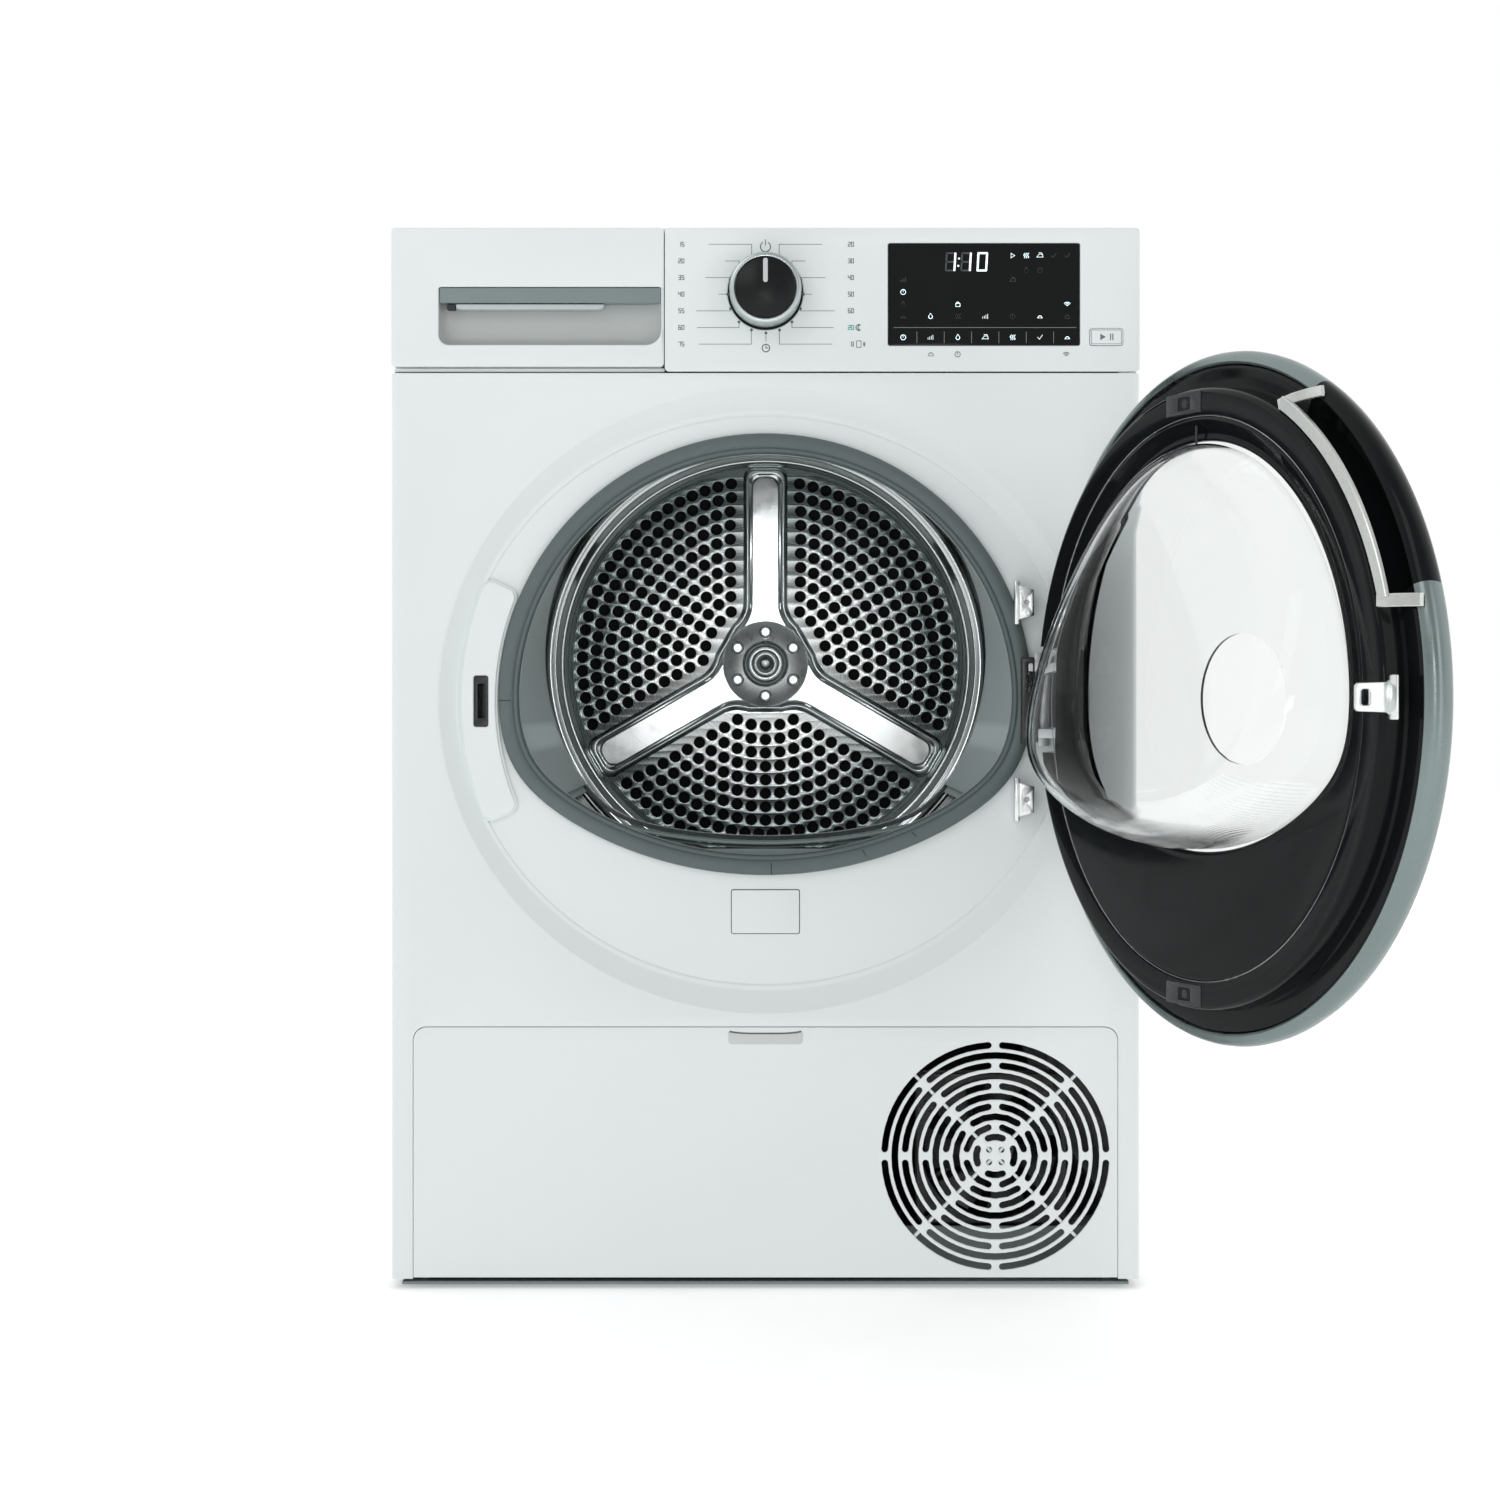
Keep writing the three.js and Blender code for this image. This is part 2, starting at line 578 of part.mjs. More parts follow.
function drumPaddle(degrees) {
  const base = DRUM_R - SHEET - 3.6;
  const section = new THREE.Shape();
  section.moveTo(-30, -base);
  section.quadraticCurveTo(-16, -base + 10, -12, -base + 36);
  section.quadraticCurveTo(0, -base + 50, 12, -base + 36);
  section.quadraticCurveTo(16, -base + 10, 30, -base);
  const geometry = panel(section, 172, -215, 4);
  return geometry.rotateY(-THREE.MathUtils.degToRad(degrees)).translate(0, 0, DRUM_Z);
}

function rearBearingBar() {
  const y = 226;
  const web = join(
    block([-284, 284], [y, y + 3], [472, 542]),
    block([-284, 284], [y, y + 22], [472, 475]),
    block([-284, 284], [y, y + 22], [539, 542]),
    rod(0, DRUM_Z, 30, y - 14, y + 30));
  return cut(web, rod(0, DRUM_Z, 10.2, y - 30, y + 60, 24));
}

function rollerHeight() {
  const reach = DRUM_R + ROLLER.r + GAP;
  return DRUM_Z - Math.sqrt(reach * reach - ROLLER.x * ROLLER.x);
}

function supportRoller(side) {
  const y = ROLLER.y;
  return turned([[4.2, y - 9], [ROLLER.r, y - 9], [ROLLER.r, y + 9], [4.2, y + 9], [4.2, y - 9]],
    side * ROLLER.x, rollerHeight(), 24);
}

// ---------------------------------------------------------------- motor, belt and process fan
function motorHousing() {
  const [front, rear] = [100, 215];
  const wall = 10;
  const barrel = (d) => turned([
    [0, front + d], [40 - d, front + d], [60 - d, front + 14], [60 - d, rear - 14], [40 - d, rear - d],
    [0, rear - d],
  ], MOTOR.x, MOTOR.z, 24);
  const legs = [-42, 42].map((x) => block(
    [MOTOR.x + x - 8, MOTOR.x + x + 8], [front + 20, rear - 20], [6.8, MOTOR.z - 46]));
  const hollow = cut(barrel(wall), rod(MOTOR.x - 35, MOTOR.z - 30, 12, front, front + 24, 16));
  return cut(
    join(barrel(0), ...legs),
    hollow,
    rod(MOTOR.x, MOTOR.z, 6.4, front - 5, rear + 5, 16),
    rod(IDLER_PIVOT.x, IDLER_PIVOT.z, 6.5, front - 5, front + 20, 16));
}

function motorShaft() {
  const y = MOTOR.y;
  return turned([
    [0, y - 10], [9, y - 10], [9, y - 7], [PULLEY_R, y - 7], [PULLEY_R, y + 7], [9, y + 7], [9, y + 10],
    [6, y + 10], [6, 268], [0, 268],
  ], MOTOR.x, MOTOR.z, 20);
}

function processImpeller() {
  const [front, rear] = [230, 266];
  const hub = turned([
    [6.4, rear - 26], [16, rear - 26], [16, rear - 3], [80, rear - 3], [80, rear], [6.4, rear], [6.4, rear - 26],
  ], MOTOR.x, MOTOR.z);
  const blades = Array.from({ length: 8 }, (_, i) => {
    const blade = block([52, 80], [front, rear - 2], [-1, 1]);
    return blade.rotateY((i * Math.PI) / 4).translate(MOTOR.x, 0, MOTOR.z);
  });
  return join(hub, ...blades);
}

function fanHousing() {
  const [front, rear] = [222, 274];
  const drum = rod(MOTOR.x, MOTOR.z, 98, front, rear, 28);
  const outlet = block([MOTOR.x, MOTOR.x + 98], [front, rear], [MOTOR.z, 250]);
  return cut(
    join(drum, outlet),
    rod(MOTOR.x, MOTOR.z, 95, front + 3, rear - 3, 28),
    block([MOTOR.x + 3, MOTOR.x + 95], [front + 3, rear - 3], [MOTOR.z, 260]),
    rod(MOTOR.x, MOTOR.z, 62, front - 5, front + 5, 20));
}

function beltSpan() {
  // Where the belt's straight left-hand run leaves the drum and meets the motor pulley.
  const [drumR, pulleyR] = [DRUM_R + 1.2, PULLEY_R + GAP];
  const toPulley = new THREE.Vector2(MOTOR.x, MOTOR.z - DRUM_Z);
  const lean = Math.acos((drumR - pulleyR) / toPulley.length());
  return { lean, bearing: toPulley.angle(), drumR, pulleyR };
}

function driveBelt() {
  const { lean, bearing, drumR, pulleyR } = beltSpan();
  const outline = (extra) => {
    const shape = new THREE.Shape();
    const [a, b] = [bearing + lean, bearing - lean + 2 * Math.PI];
    shape.absarc(0, DRUM_Z, drumR + extra, a, b, false);
    shape.absarc(MOTOR.x, MOTOR.z, pulleyR + extra, b, a + 2 * Math.PI, false);
    return shape;
  };
  const loop = outline(BELT);
  loop.holes.push(outline(0));
  return panel(loop, MOTOR.y + 5, MOTOR.y - 5, 24);
}

const IDLER_R = 16;

function idlerCentre() {
  const { lean, bearing, drumR, pulleyR } = beltSpan();
  const normal = new THREE.Vector2(Math.cos(bearing - lean), Math.sin(bearing - lean));
  const from = new THREE.Vector2(MOTOR.x, MOTOR.z).addScaledVector(normal, pulleyR);
  const to = new THREE.Vector2(0, DRUM_Z).addScaledVector(normal, drumR);
  return from.lerp(to, 0.17).addScaledVector(normal, BELT + GAP + IDLER_R);
}

function idlerPulley() {
  const { x, y: z } = idlerCentre();
  const y = MOTOR.y;
  return turned([[4.3, y - 8], [IDLER_R, y - 8], [IDLER_R, y + 8], [4.3, y + 8], [4.3, y - 8]], x, z, 24);
}

const IDLER_PIVOT = { x: MOTOR.x - 35, z: MOTOR.z - 30 };

function idlerArm() {
  const { x, y: z } = idlerCentre();
  const y = MOTOR.y + 10;
  const [dx, dz] = [x - IDLER_PIVOT.x, z - IDLER_PIVOT.z];
  const length = Math.hypot(dx, dz);
  const bar = panel(rectangle([-8, length + 8], [-8, 8], 7.9), y + 3, y, 4);
  bar.rotateY(-Math.atan2(dz, dx)).translate(IDLER_PIVOT.x, 0, IDLER_PIVOT.z);
  return join(bar, rod(x, z, 4, y - 18, y + 1, 16), rod(IDLER_PIVOT.x, IDLER_PIVOT.z, 6, y + 1, y + 30, 16));
}

// ---------------------------------------------------------------- heat pump in the base
function finnedBlock([x0, x1], [y0, y1], [z0, z1]) {
  const fins = 9;
  const pitch = (x1 - x0 - 4) / fins;
  const points = [[x0, z0], [x1, z0]];
  for (let i = fins; i >= 0; i -= 1) {
    const x = x0 + i * pitch;
    points.push([x + 4, z1], [x, z1]);
    if (i > 0) points.push([x, z0 + 12], [x - pitch + 4, z0 + 12]);
  }
  return panel(outlineOf(points), y1, y0);
}

function compressor() {
  const shell = turnedUp([
    [0, 8], [50, 8], [50, 18], [62, 34], [62, 150], [54, 174], [30, 188], [0, 188],
  ], 170, -60, 20);
  const inside = turnedUp([
    [0, 16], [42, 16], [52, 36], [52, 148], [46, 166], [5, 176], [5, 190], [0, 190],
  ], 170, -60, 20);
  return cut(shell, inside);
}

function exchangerCover() {
  const plate = cut(
    block([-262, 52], [-266, -256], [48, 196]),
    block([-258, 48], [-262, -250], [52, 192]));
  const ribs = [88, 122, 156].map((z) => block([-200, -10], [-268, -265], [z - 4, z + 4]));
  const holes = COVER_LATCHES.map((x) => rod(x, 122, 5.3, -280, -250, 16));
  return cut(join(plate, ...ribs), ...holes);
}

const COVER_LATCHES = [-236, 26];

function coverLatch(x) {
  const lever = panel(rectangle([-9, 9], [-28, 28], 8.9), -266.4, -273, 4).translate(x, 0, 122);
  return join(lever, rod(x, 122, 5, -268, -253, 16));
}

function coolingFanFrame() {
  const half = 61;
  const [front, rear] = [-262, -236];
  const square = block([FAN.x - half, FAN.x + half], [front, rear], [FAN.z - half, FAN.z + half]);
  const struts = [45, 135].map((degrees) => {
    const strut = block([-62, 62], [rear - 4, rear], [-4, 4]);
    return strut.rotateY(THREE.MathUtils.degToRad(degrees)).translate(FAN.x, 0, FAN.z);
  });
  const tunnel = cut(square, rod(FAN.x, FAN.z, 57, front - 5, rear + 5, 24));
  return join(tunnel, ...struts, rod(FAN.x, FAN.z, 3, front + 8, rear - 2, 12));
}

function coolingFanImpeller() {
  const [front, rear] = [-259, -242];
  const blades = Array.from({ length: 7 }, (_, i) => {
    const blade = block([14, FAN.r], [-1, 1], [-13, 13]).rotateX(0.6).translate(0, (front + rear) / 2, 0);
    return blade.rotateY((2 * Math.PI * i) / 7).translate(FAN.x, 0, FAN.z);
  });
  const hub = rod(FAN.x, FAN.z, 19, front, rear, 24);
  return cut(join(hub, ...blades), rod(FAN.x, FAN.z, 3.3, front + 3, rear + 5, 12));
}

function condensatePump() {
  return join(
    block([-215, -155], [190, 250], [6.8, 60]),
    turnedUp([[0, 58], [20, 58], [20, 84], [6, 86], [6, 104], [0, 104]], -185, 220, 20));
}

function mainsInlet() {
  const y = REAR - 9.7;
  return join(
    block([-245, -215], [y - 16, y + 2], [98, 122]),
    block([-250, -210], [y + SHEET + GAP, y + 5], [93, 127]),
    rod(-230, 110, 8, y + 4, REAR - 0.5, 20));
}

// ---------------------------------------------------------------- service flap
const FLAP = { half: 280.8, low: 9, high: 208.6, hingeY: -293.5, hingeZ: 15 };

function arcSlot(radius, width, start, end) {
  const shape = new THREE.Shape();
  shape.absarc(FAN.x, FAN.z, radius + width / 2, start, end, false);
  shape.absarc(FAN.x, FAN.z, radius - width / 2, end, start, true);
  return panel(shape, FRONT + 6, FRONT - 4, 4);
}

function serviceFlap() {
  const wall = 2.4;
  const outline = (d) => {
    const shape = rectangle([-FLAP.half + d, FLAP.half - d], [FLAP.low - 20, FLAP.high - d], 10.6 - d);
    return cut(panel(shape, FRONT + 10 + d, FRONT + d), block([-300, 300], [-310, -280], [-20, FLAP.low + d]));
  };
  const shell = cut(outline(0), outline(wall));
  const ears = [-1, 1].map((side) => {
    const x = [side * 264, side * 269].sort((a, b) => a - b);
    return block(x, [FRONT + 2, -290.2], [10.5, 19]);
  });
  const slots = [26, 52, 78].flatMap((radius, ring) => [0, 1, 2, 3].map((quarter) => {
    const start = (quarter * Math.PI) / 2 + (ring % 2 ? Math.PI / 4 : 0);
    const web = 7 / radius;
    return arcSlot(radius, 14, start + web, start + Math.PI / 2 - web);
  }));
  const latchWindow = block([-30, 30], [FRONT - 5, FRONT + 5], [190, 205.2]);
  const notches = [-1, 1].map((side) => {
    const x = [side * 269.4, side * 275.6].sort((a, b) => a - b);
    return block(x, [FRONT + wall + 0.2, FRONT + 15], [0, 12.2]);
  });
  const pinHoles = crossRod(FLAP.hingeY, FLAP.hingeZ, 2.7, -275, 275);
  return cut(join(shell, ...ears), ...slots, ...notches, latchWindow, pinHoles);
}

function flapLatch() {
  return join(
    block([-29.6, 29.6], [FRONT - 0.5, FRONT + 2.9], [195, 204.8]),
    block([-33, 33], [FRONT + 2.7, FRONT + 6], [195, 205.8]));
}

// ---------------------------------------------------------------- door, drawn closed
const HINGE_NOTCH = () => block([200, 262], [FRONT - 33, RECESS_Y - 0.5], [427, 511]);

function doorRing() {
  const section = [
    [3, 4], [0, 10], [0, 28], [4, 36], [9, DOOR_FACE], [DOOR_FLANGE, DOOR_FACE], [DOOR_FLANGE, 36.5],
    [8, 35], [4, 28], [4.5, 4],
  ];
  const ring = loft(section.map(([d, t]) => ellipseLoop(inset(DOOR, d), FRONT - t)), true);
  return cut(ring, HINGE_NOTCH());
}

function doorGlass() {
  const rim = inset(DOOR, DOOR_FLANGE + GAP);
  const loops = [[0, 36.8], [0, 39.6], [60, 42], [150, 43.4]];
  return loft(loops.map(([d, t]) => ellipseLoop(inset(rim, d), FRONT - t)), false);
}

function doorInnerFrame() {
  const plateOutline = ellipseLoop(inset(DOOR, 5), 0);
  const plate = panel(shapeOf(plateOutline), FRONT - DOOR_BACK, FRONT - DOOR_BACK - 3);
  const raised = loft([
    ellipseLoop([222, 217], FRONT - DOOR_BACK - 1), ellipseLoop([221, 216], FRONT + 0.5),
    ellipseLoop([218, 213], FRONT + 2), ellipseLoop([203, 203], FRONT + 2), ellipseLoop([202, 202], FRONT - 6),
  ], true);
  const sleeve = loft([openingLoop(-15, FRONT - DOOR_BACK), openingLoop(-15, FRONT - 36.4)], false);
  const hole = loft([openingLoop(-18, FRONT + 5), openingLoop(-18, FRONT - 45)], false);
  const grip = new THREE.Shape();
  const [from, to] = [122, 163].map(THREE.MathUtils.degToRad);
  grip.absellipse(0, OPENING_Z, 246, 239, from, to, false);
  grip.absellipse(0, OPENING_Z, 231, 226, to, from, true);
  return cut(join(plate, raised, sleeve), hole, panel(grip, FRONT, FRONT - 20), HINGE_NOTCH());
}

function doorBowl() {
  // Moulded glass bowl: shallow at the top, deep at the bottom, 4 mm thick.
  const skin = (taper, thickness) => {
    const loop = openingLoop(-19 - thickness - 30 * taper, 0);
    return loop.map((p) => {
      const low = THREE.MathUtils.smoothstep(OPENING_Z + OPENING_R - p.z, 0, 290);
      const depth = taper * (14 + 52 * low) - thickness;
      return new THREE.Vector3(p.x, FRONT - DOOR_BACK - 1 + depth, p.z);
    });
  };
  const shrink = (loop, factor) => loop.map((p) => new THREE.Vector3(
    p.x * factor, p.y, OPENING_Z + (p.z - OPENING_Z) * factor));
  return loft([
    shrink(skin(1, 0), 0.5), skin(1, 0), skin(0.85, -2), skin(0.4, -1), skin(0, 0),
    skin(0, 4), skin(0.4, 3), skin(0.85, 2.5), skin(1, 4), shrink(skin(1, 4), 0.5),
  ], false);
}

function doorHook() {
  const plate = cut(
    block([-228.8, -225.8], [FRONT - 4.7, RECESS_Y + 14], [459.5, 478.5]),
    block([-232, -222], [RECESS_Y + 2, RECESS_Y + 9], [464, 474]));
  return join(plate, block([-236, -224], [FRONT - 4.7, FRONT - 1.5], [455, 483]));
}

function doorHingeLeaf() {
  const knuckle = turnedUp([[3.1, 447], [6.5, 447], [6.5, 491], [3.1, 491], [3.1, 447]], HINGE.x, HINGE.y, 16);
  const arm = block([199.4, HINGE.x - 4], [HINGE.y - 2.5, HINGE.y + 2.5], [449, 489]);
  const plate = block([192, 199.7], [FRONT - 22, FRONT - DOOR_BACK - 3 - GAP], [430, 508]);
  return join(knuckle, arm, plate);
}

// ---------------------------------------------------------------- assembly
function piece(name, geometry, look) {
  const material = new THREE.MeshStandardMaterial(look);
  const flat = closed(geometry);
  const mesh = new THREE.Mesh(toCreasedNormals(flat, 0.6), material);
  mesh.name = name;
  return mesh;
}

const dryer = new THREE.Group();
dryer.add(
  piece('base_chassis', baseChassis(), greyPlastic),
  piece('left_side_panel', sidePanel(-1), white),
  piece('right_side_panel', sidePanel(1), white),
  piece('rear_panel', rearPanel(), zinc),
  piece('worktop', worktop(), white),
  piece('front_panel', frontPanel(), white),
  piece('control_panel', controlPanel(), whitePlastic),
  piece('display_window', displayWindow(), gloss),
  piece('control_board', controlBoard(), board),
  piece('front_bulkhead', frontBulkhead(), whitePlastic),
  piece('door_seal', doorSeal(), rubber),
  piece('latch_plate', latchPlate(), whitePlastic),
  piece('door_catch', doorCatch(), black),
  piece('hinge_bracket', hingeBracket(), zinc),
  piece('rear_bearing_bar', rearBearingBar(), zinc),
  piece('tank_tray', tankTray(), paleGrey),
  piece('motor_housing', motorHousing(), castIron),
  piece('fan_housing', fanHousing(), greyPlastic),
  piece('evaporator', finnedBlock([-250, 40], [-250, -150], [48, 190]), aluminium),
  piece('condenser', finnedBlock([-250, 40], [-140, 10], [48, 190]), aluminium),
  piece('compressor', compressor(), castIron),
  piece('heat_exchanger_cover', exchangerCover(), paleGrey),
  piece('cooling_fan_frame', coolingFanFrame(), black),
  piece('condensate_pump', condensatePump(), black),
  piece('mains_inlet', mainsInlet(), black),
  piece('drive_belt', driveBelt(), black),
  piece('programme_knob', programmeKnob(), silver),
  piece('start_button', startButton(), whitePlastic),
  piece('drawer_front', drawerFront(), whitePlastic),
  piece('drawer_grip', drawerGrip(), greyPlastic),
  piece('water_tank', waterTank(), tankPlastic),
  piece('tank_lid', tankLid(), tankPlastic),
  piece('lint_filter', lintFilter(), greyPlastic),
  piece('drum_shell', drumShell(), stainless),
  piece('drum_rear_wall', drumRearWall(), stainless),
  piece('drum_star', drumStar(), stainless),
  piece('motor_shaft', motorShaft(), zinc),
  piece('process_impeller', processImpeller(), greyPlastic),
  piece('idler_arm', idlerArm(), zinc),
  piece('idler_pulley', idlerPulley(), black),
  piece('cooling_fan_impeller', coolingFanImpeller(), black),
  piece('service_flap', serviceFlap(), whitePlastic),
  piece('flap_latch', flapLatch(), whitePlastic),
);

for (const [i, degrees] of [0, 120, 240].entries()) {
  dryer.add(piece(`drum_paddle_${i + 1}`, drumPaddle(degrees), paleGrey));
}
for (const [side, label] of [[-1, 'left'], [1, 'right']]) {
  dryer.add(
    piece(`${label}_support_roller`, supportRoller(side), black),
    piece(`${label}_cover_latch`, coverLatch(COVER_LATCHES[side < 0 ? 0 : 1]), greyPlastic),
    piece(`front_${label}_foot`, levellingFoot(side * FOOT.x, FOOT.front), black),
    piece(`rear_${label}_foot`, levellingFoot(side * FOOT.x, FOOT.rear), black),
  );
}

// The door's pieces are drawn closed, then turned open about the hinge.
const door = new THREE.Group();
door.position.set(HINGE.x, HINGE.y, 0);
door.rotation.z = OPEN_ANGLE;
const leaf = new THREE.Group();
leaf.position.set(-HINGE.x, -HINGE.y, 0);
leaf.add(
  piece('door_ring', doorRing(), silver),
  piece('door_glass', doorGlass(), glass),
  piece('door_inner_frame', doorInnerFrame(), black),
  piece('door_bowl', doorBowl(), glass),
  piece('door_hook', doorHook(), silver),
  piece('door_hinge_leaf', doorHingeLeaf(), castIron),
);
door.add(leaf);
dryer.add(door);

export default dryer;
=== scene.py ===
"""A front-loading clothes dryer with its door standing open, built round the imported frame. Metres, +Z up."""

import json
import math

import bmesh
import bpy
from mathutils import Matrix, Vector


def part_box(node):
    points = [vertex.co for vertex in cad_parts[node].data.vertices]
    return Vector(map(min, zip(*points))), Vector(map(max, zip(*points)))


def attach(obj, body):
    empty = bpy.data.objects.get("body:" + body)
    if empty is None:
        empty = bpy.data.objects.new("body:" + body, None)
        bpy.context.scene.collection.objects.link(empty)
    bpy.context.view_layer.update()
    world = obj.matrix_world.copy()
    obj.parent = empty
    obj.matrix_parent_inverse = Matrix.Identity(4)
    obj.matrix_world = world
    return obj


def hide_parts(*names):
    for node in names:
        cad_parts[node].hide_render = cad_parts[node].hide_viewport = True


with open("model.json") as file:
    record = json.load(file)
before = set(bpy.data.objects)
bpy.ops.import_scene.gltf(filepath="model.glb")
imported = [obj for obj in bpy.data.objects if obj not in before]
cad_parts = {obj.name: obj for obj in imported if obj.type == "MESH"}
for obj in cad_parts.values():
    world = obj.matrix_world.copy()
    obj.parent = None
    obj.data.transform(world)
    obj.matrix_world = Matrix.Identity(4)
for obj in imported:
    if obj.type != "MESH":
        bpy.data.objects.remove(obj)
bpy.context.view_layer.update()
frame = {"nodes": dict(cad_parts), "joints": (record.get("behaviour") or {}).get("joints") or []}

# ---------------------------------------------------------------- sizes, from the frame where it has them
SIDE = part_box("right_side_panel")[1].x
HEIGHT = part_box("worktop")[1].z
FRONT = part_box("control_panel")[0].y
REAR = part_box("rear_panel")[1].y
SKIRT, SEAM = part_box("front_panel")[0].z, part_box("front_panel")[1].z
FOLD_BACK = FRONT + 0.0232  # rear edge of the sides of the front panel and fascia
FASCIA_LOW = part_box("control_panel")[0].z
RECESS_Y = FRONT + 0.010  # face of the recess's floor
OPENING_Z = 0.469  # middle of the door, its recess and the load opening
OPENING = ((OPENING_Z, 0.1977), (0.6355, 0.290))  # circles (z, radius) that bound the load opening
THROAT = ((0.507, 0.181), (0.8615, 0.503))  # the same for the sleeve's inner end, at the drum
RECESS_OUTER, RECESS_INNER = (0.2606, 0.250), (0.247, 0.231)  # half sizes of the recess's edge and floor
DRUM_Z = 0.507  # height of the drum's axis
DOOR = (0.254, 0.247)  # half width and half height of the door's rim
ROUND = 180  # points round the door and the opening
KNOB_Z = 0.7946  # height of the knob's axis
DRAWER_RIGHT, DRAWER_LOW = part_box("drawer_front")[1].x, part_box("drawer_front")[0].z
FAN = (0.1833, 0.1058)  # middle of the vent and its fan
CATCH_HOLE = (-0.236, -0.219, 0.446, 0.491)  # x and z limits of the hole behind the door catch
CATCH = (-0.2334, -0.2217, 0.448, 0.489)  # x and z limits of the door catch

hinge = next(j for j in frame["joints"] if j["name"] == "door_hinge")
HINGE = Vector((hinge["pos_m"][0], hinge["pos_m"][1], 0))
OPEN_ANGLE = -math.radians(hinge["range_deg"][0])
OPENED = Matrix.Translation(HINGE) @ Matrix.Rotation(OPEN_ANGLE, 4, "Z") @ Matrix.Translation(-HINGE)


# ---------------------------------------------------------------- camera, light and floor
def set_camera():
    data = bpy.data.cameras.new("camera")
    data.lens, data.sensor_width = 66.24, 36
    data.shift_x, data.shift_y = -0.0103, -0.0243
    camera = bpy.data.objects.new("camera", data)
    camera.location = (0, -2.5, 0.4586)
    camera.rotation_euler = (math.radians(90), 0, 0)
    bpy.context.scene.collection.objects.link(camera)
    bpy.context.scene.camera = camera
    bpy.context.scene.view_settings.view_transform = "Standard"


def softbox(name, place, aim, size, power):
    data = bpy.data.lights.new(name, "AREA")
    data.shape, data.size, data.size_y, data.energy = "RECTANGLE", *size, power
    light = bpy.data.objects.new(name, data)
    light.location = place
    light.rotation_euler = (Vector(aim) - Vector(place)).to_track_quat("-Z", "Y").to_euler()
    bpy.context.scene.collection.objects.link(light)


def set_lights():
    world = bpy.data.worlds.new("studio")
    bpy.context.scene.world = world
    world.use_nodes = True
    tree = world.node_tree
    place = tree.nodes.new("ShaderNodeTexCoord")
    split = tree.nodes.new("ShaderNodeSeparateXYZ")
    tree.links.new(place.outputs["Generated"], split.inputs["Vector"])
    glow = remap(tree, split.outputs["Y"], 0.5, 1, -0.45, 0.0)  # a darker room in front of the machine
    tree.links.new(glow, tree.nodes["Background"].inputs["Strength"])
    tree.nodes["Background"].inputs["Color"].default_value = (1, 1, 1, 1)
    softbox("key_light", (-1.4, -2.6, 2.2), (0, 0, 0.4), (1.6, 1.6), 13)
    softbox("fill_light", (2.2, -2.4, 1.0), (0.1, 0, 0.4), (1.2, 1.8), 7)
    softbox("drum_light", (0, -2.56, 0.66), (0, 0.19, 0.51), (0.4, 0.28), 2.2)


def set_floor():
    size = 14
    shape = bmesh.new()
    corners = [shape.verts.new((x * size, y * size, 0)) for x, y in ((-1, -1), (1, -1), (1, 1), (-1, 1))]
    shape.faces.new(corners)
    mesh = bpy.data.meshes.new("floor")
    shape.to_mesh(mesh)
    floor = bpy.data.objects.new("floor", mesh)
    bpy.context.scene.collection.objects.link(floor)
    glow = {"Emission Color": (1, 1, 1, 1), "Emission Strength": 0.3}
    mesh.materials.append(grained("floor_paint", (0.93, 0.935, 0.935), 0.9, bump=0, settings=glow))


# ---------------------------------------------------------------- materials
def surface(name, colour, roughness, metallic=0.0, settings=()):
    """A new material, its node tree and its shader."""
    material = bpy.data.materials.new(name)
    material.use_nodes = True
    shader = material.node_tree.nodes["Principled BSDF"]
    shader.inputs["Base Color"].default_value = (*colour, 1)
    shader.inputs["Roughness"].default_value = roughness
    shader.inputs["Metallic"].default_value = metallic
    for key, value in dict(settings).items():
        shader.inputs[key].default_value = value
    return material, material.node_tree, shader


def noise(tree, scale, stretch=(1, 1, 1), detail=3):
    """A noise value between 0 and 1 over the object, stretched along an axis for brushed metal."""
    place = tree.nodes.new("ShaderNodeTexCoord")
    mapping = tree.nodes.new("ShaderNodeMapping")
    mapping.inputs["Scale"].default_value = stretch
    texture = tree.nodes.new("ShaderNodeTexNoise")
    texture.inputs["Scale"].default_value = scale
    texture.inputs["Detail"].default_value = detail
    tree.links.new(place.outputs["Object"], mapping.inputs["Vector"])
    tree.links.new(mapping.outputs["Vector"], texture.inputs["Vector"])
    return texture.outputs["Fac"]


def remap(tree, value, low, high, start=0.3, end=0.7):
    """Maps a value from start..end to low..high, and holds it there outside."""
    node = tree.nodes.new("ShaderNodeMapRange")
    for key, limit in (("From Min", start), ("From Max", end), ("To Min", low), ("To Max", high)):
        node.inputs[key].default_value = limit
    tree.links.new(value, node.inputs["Value"])
    return node.outputs["Result"]


def tint(tree, shader, value, dark, light):
    """Colours the shader from dark to light as value goes from 0 to 1."""
    ramp = tree.nodes.new("ShaderNodeMix")
    ramp.data_type = "RGBA"
    ramp.inputs["A"].default_value = (*dark, 1)
    ramp.inputs["B"].default_value = (*light, 1)
    tree.links.new(value, ramp.inputs["Factor"])
    tree.links.new(ramp.outputs["Result"], shader.inputs["Base Color"])


def relief(tree, shader, value, strength, distance=0.0005):
    bump = tree.nodes.new("ShaderNodeBump")
    bump.inputs["Strength"].default_value = strength
    bump.inputs["Distance"].default_value = distance
    tree.links.new(value, bump.inputs["Height"])
    tree.links.new(bump.outputs["Normal"], shader.inputs["Normal"])


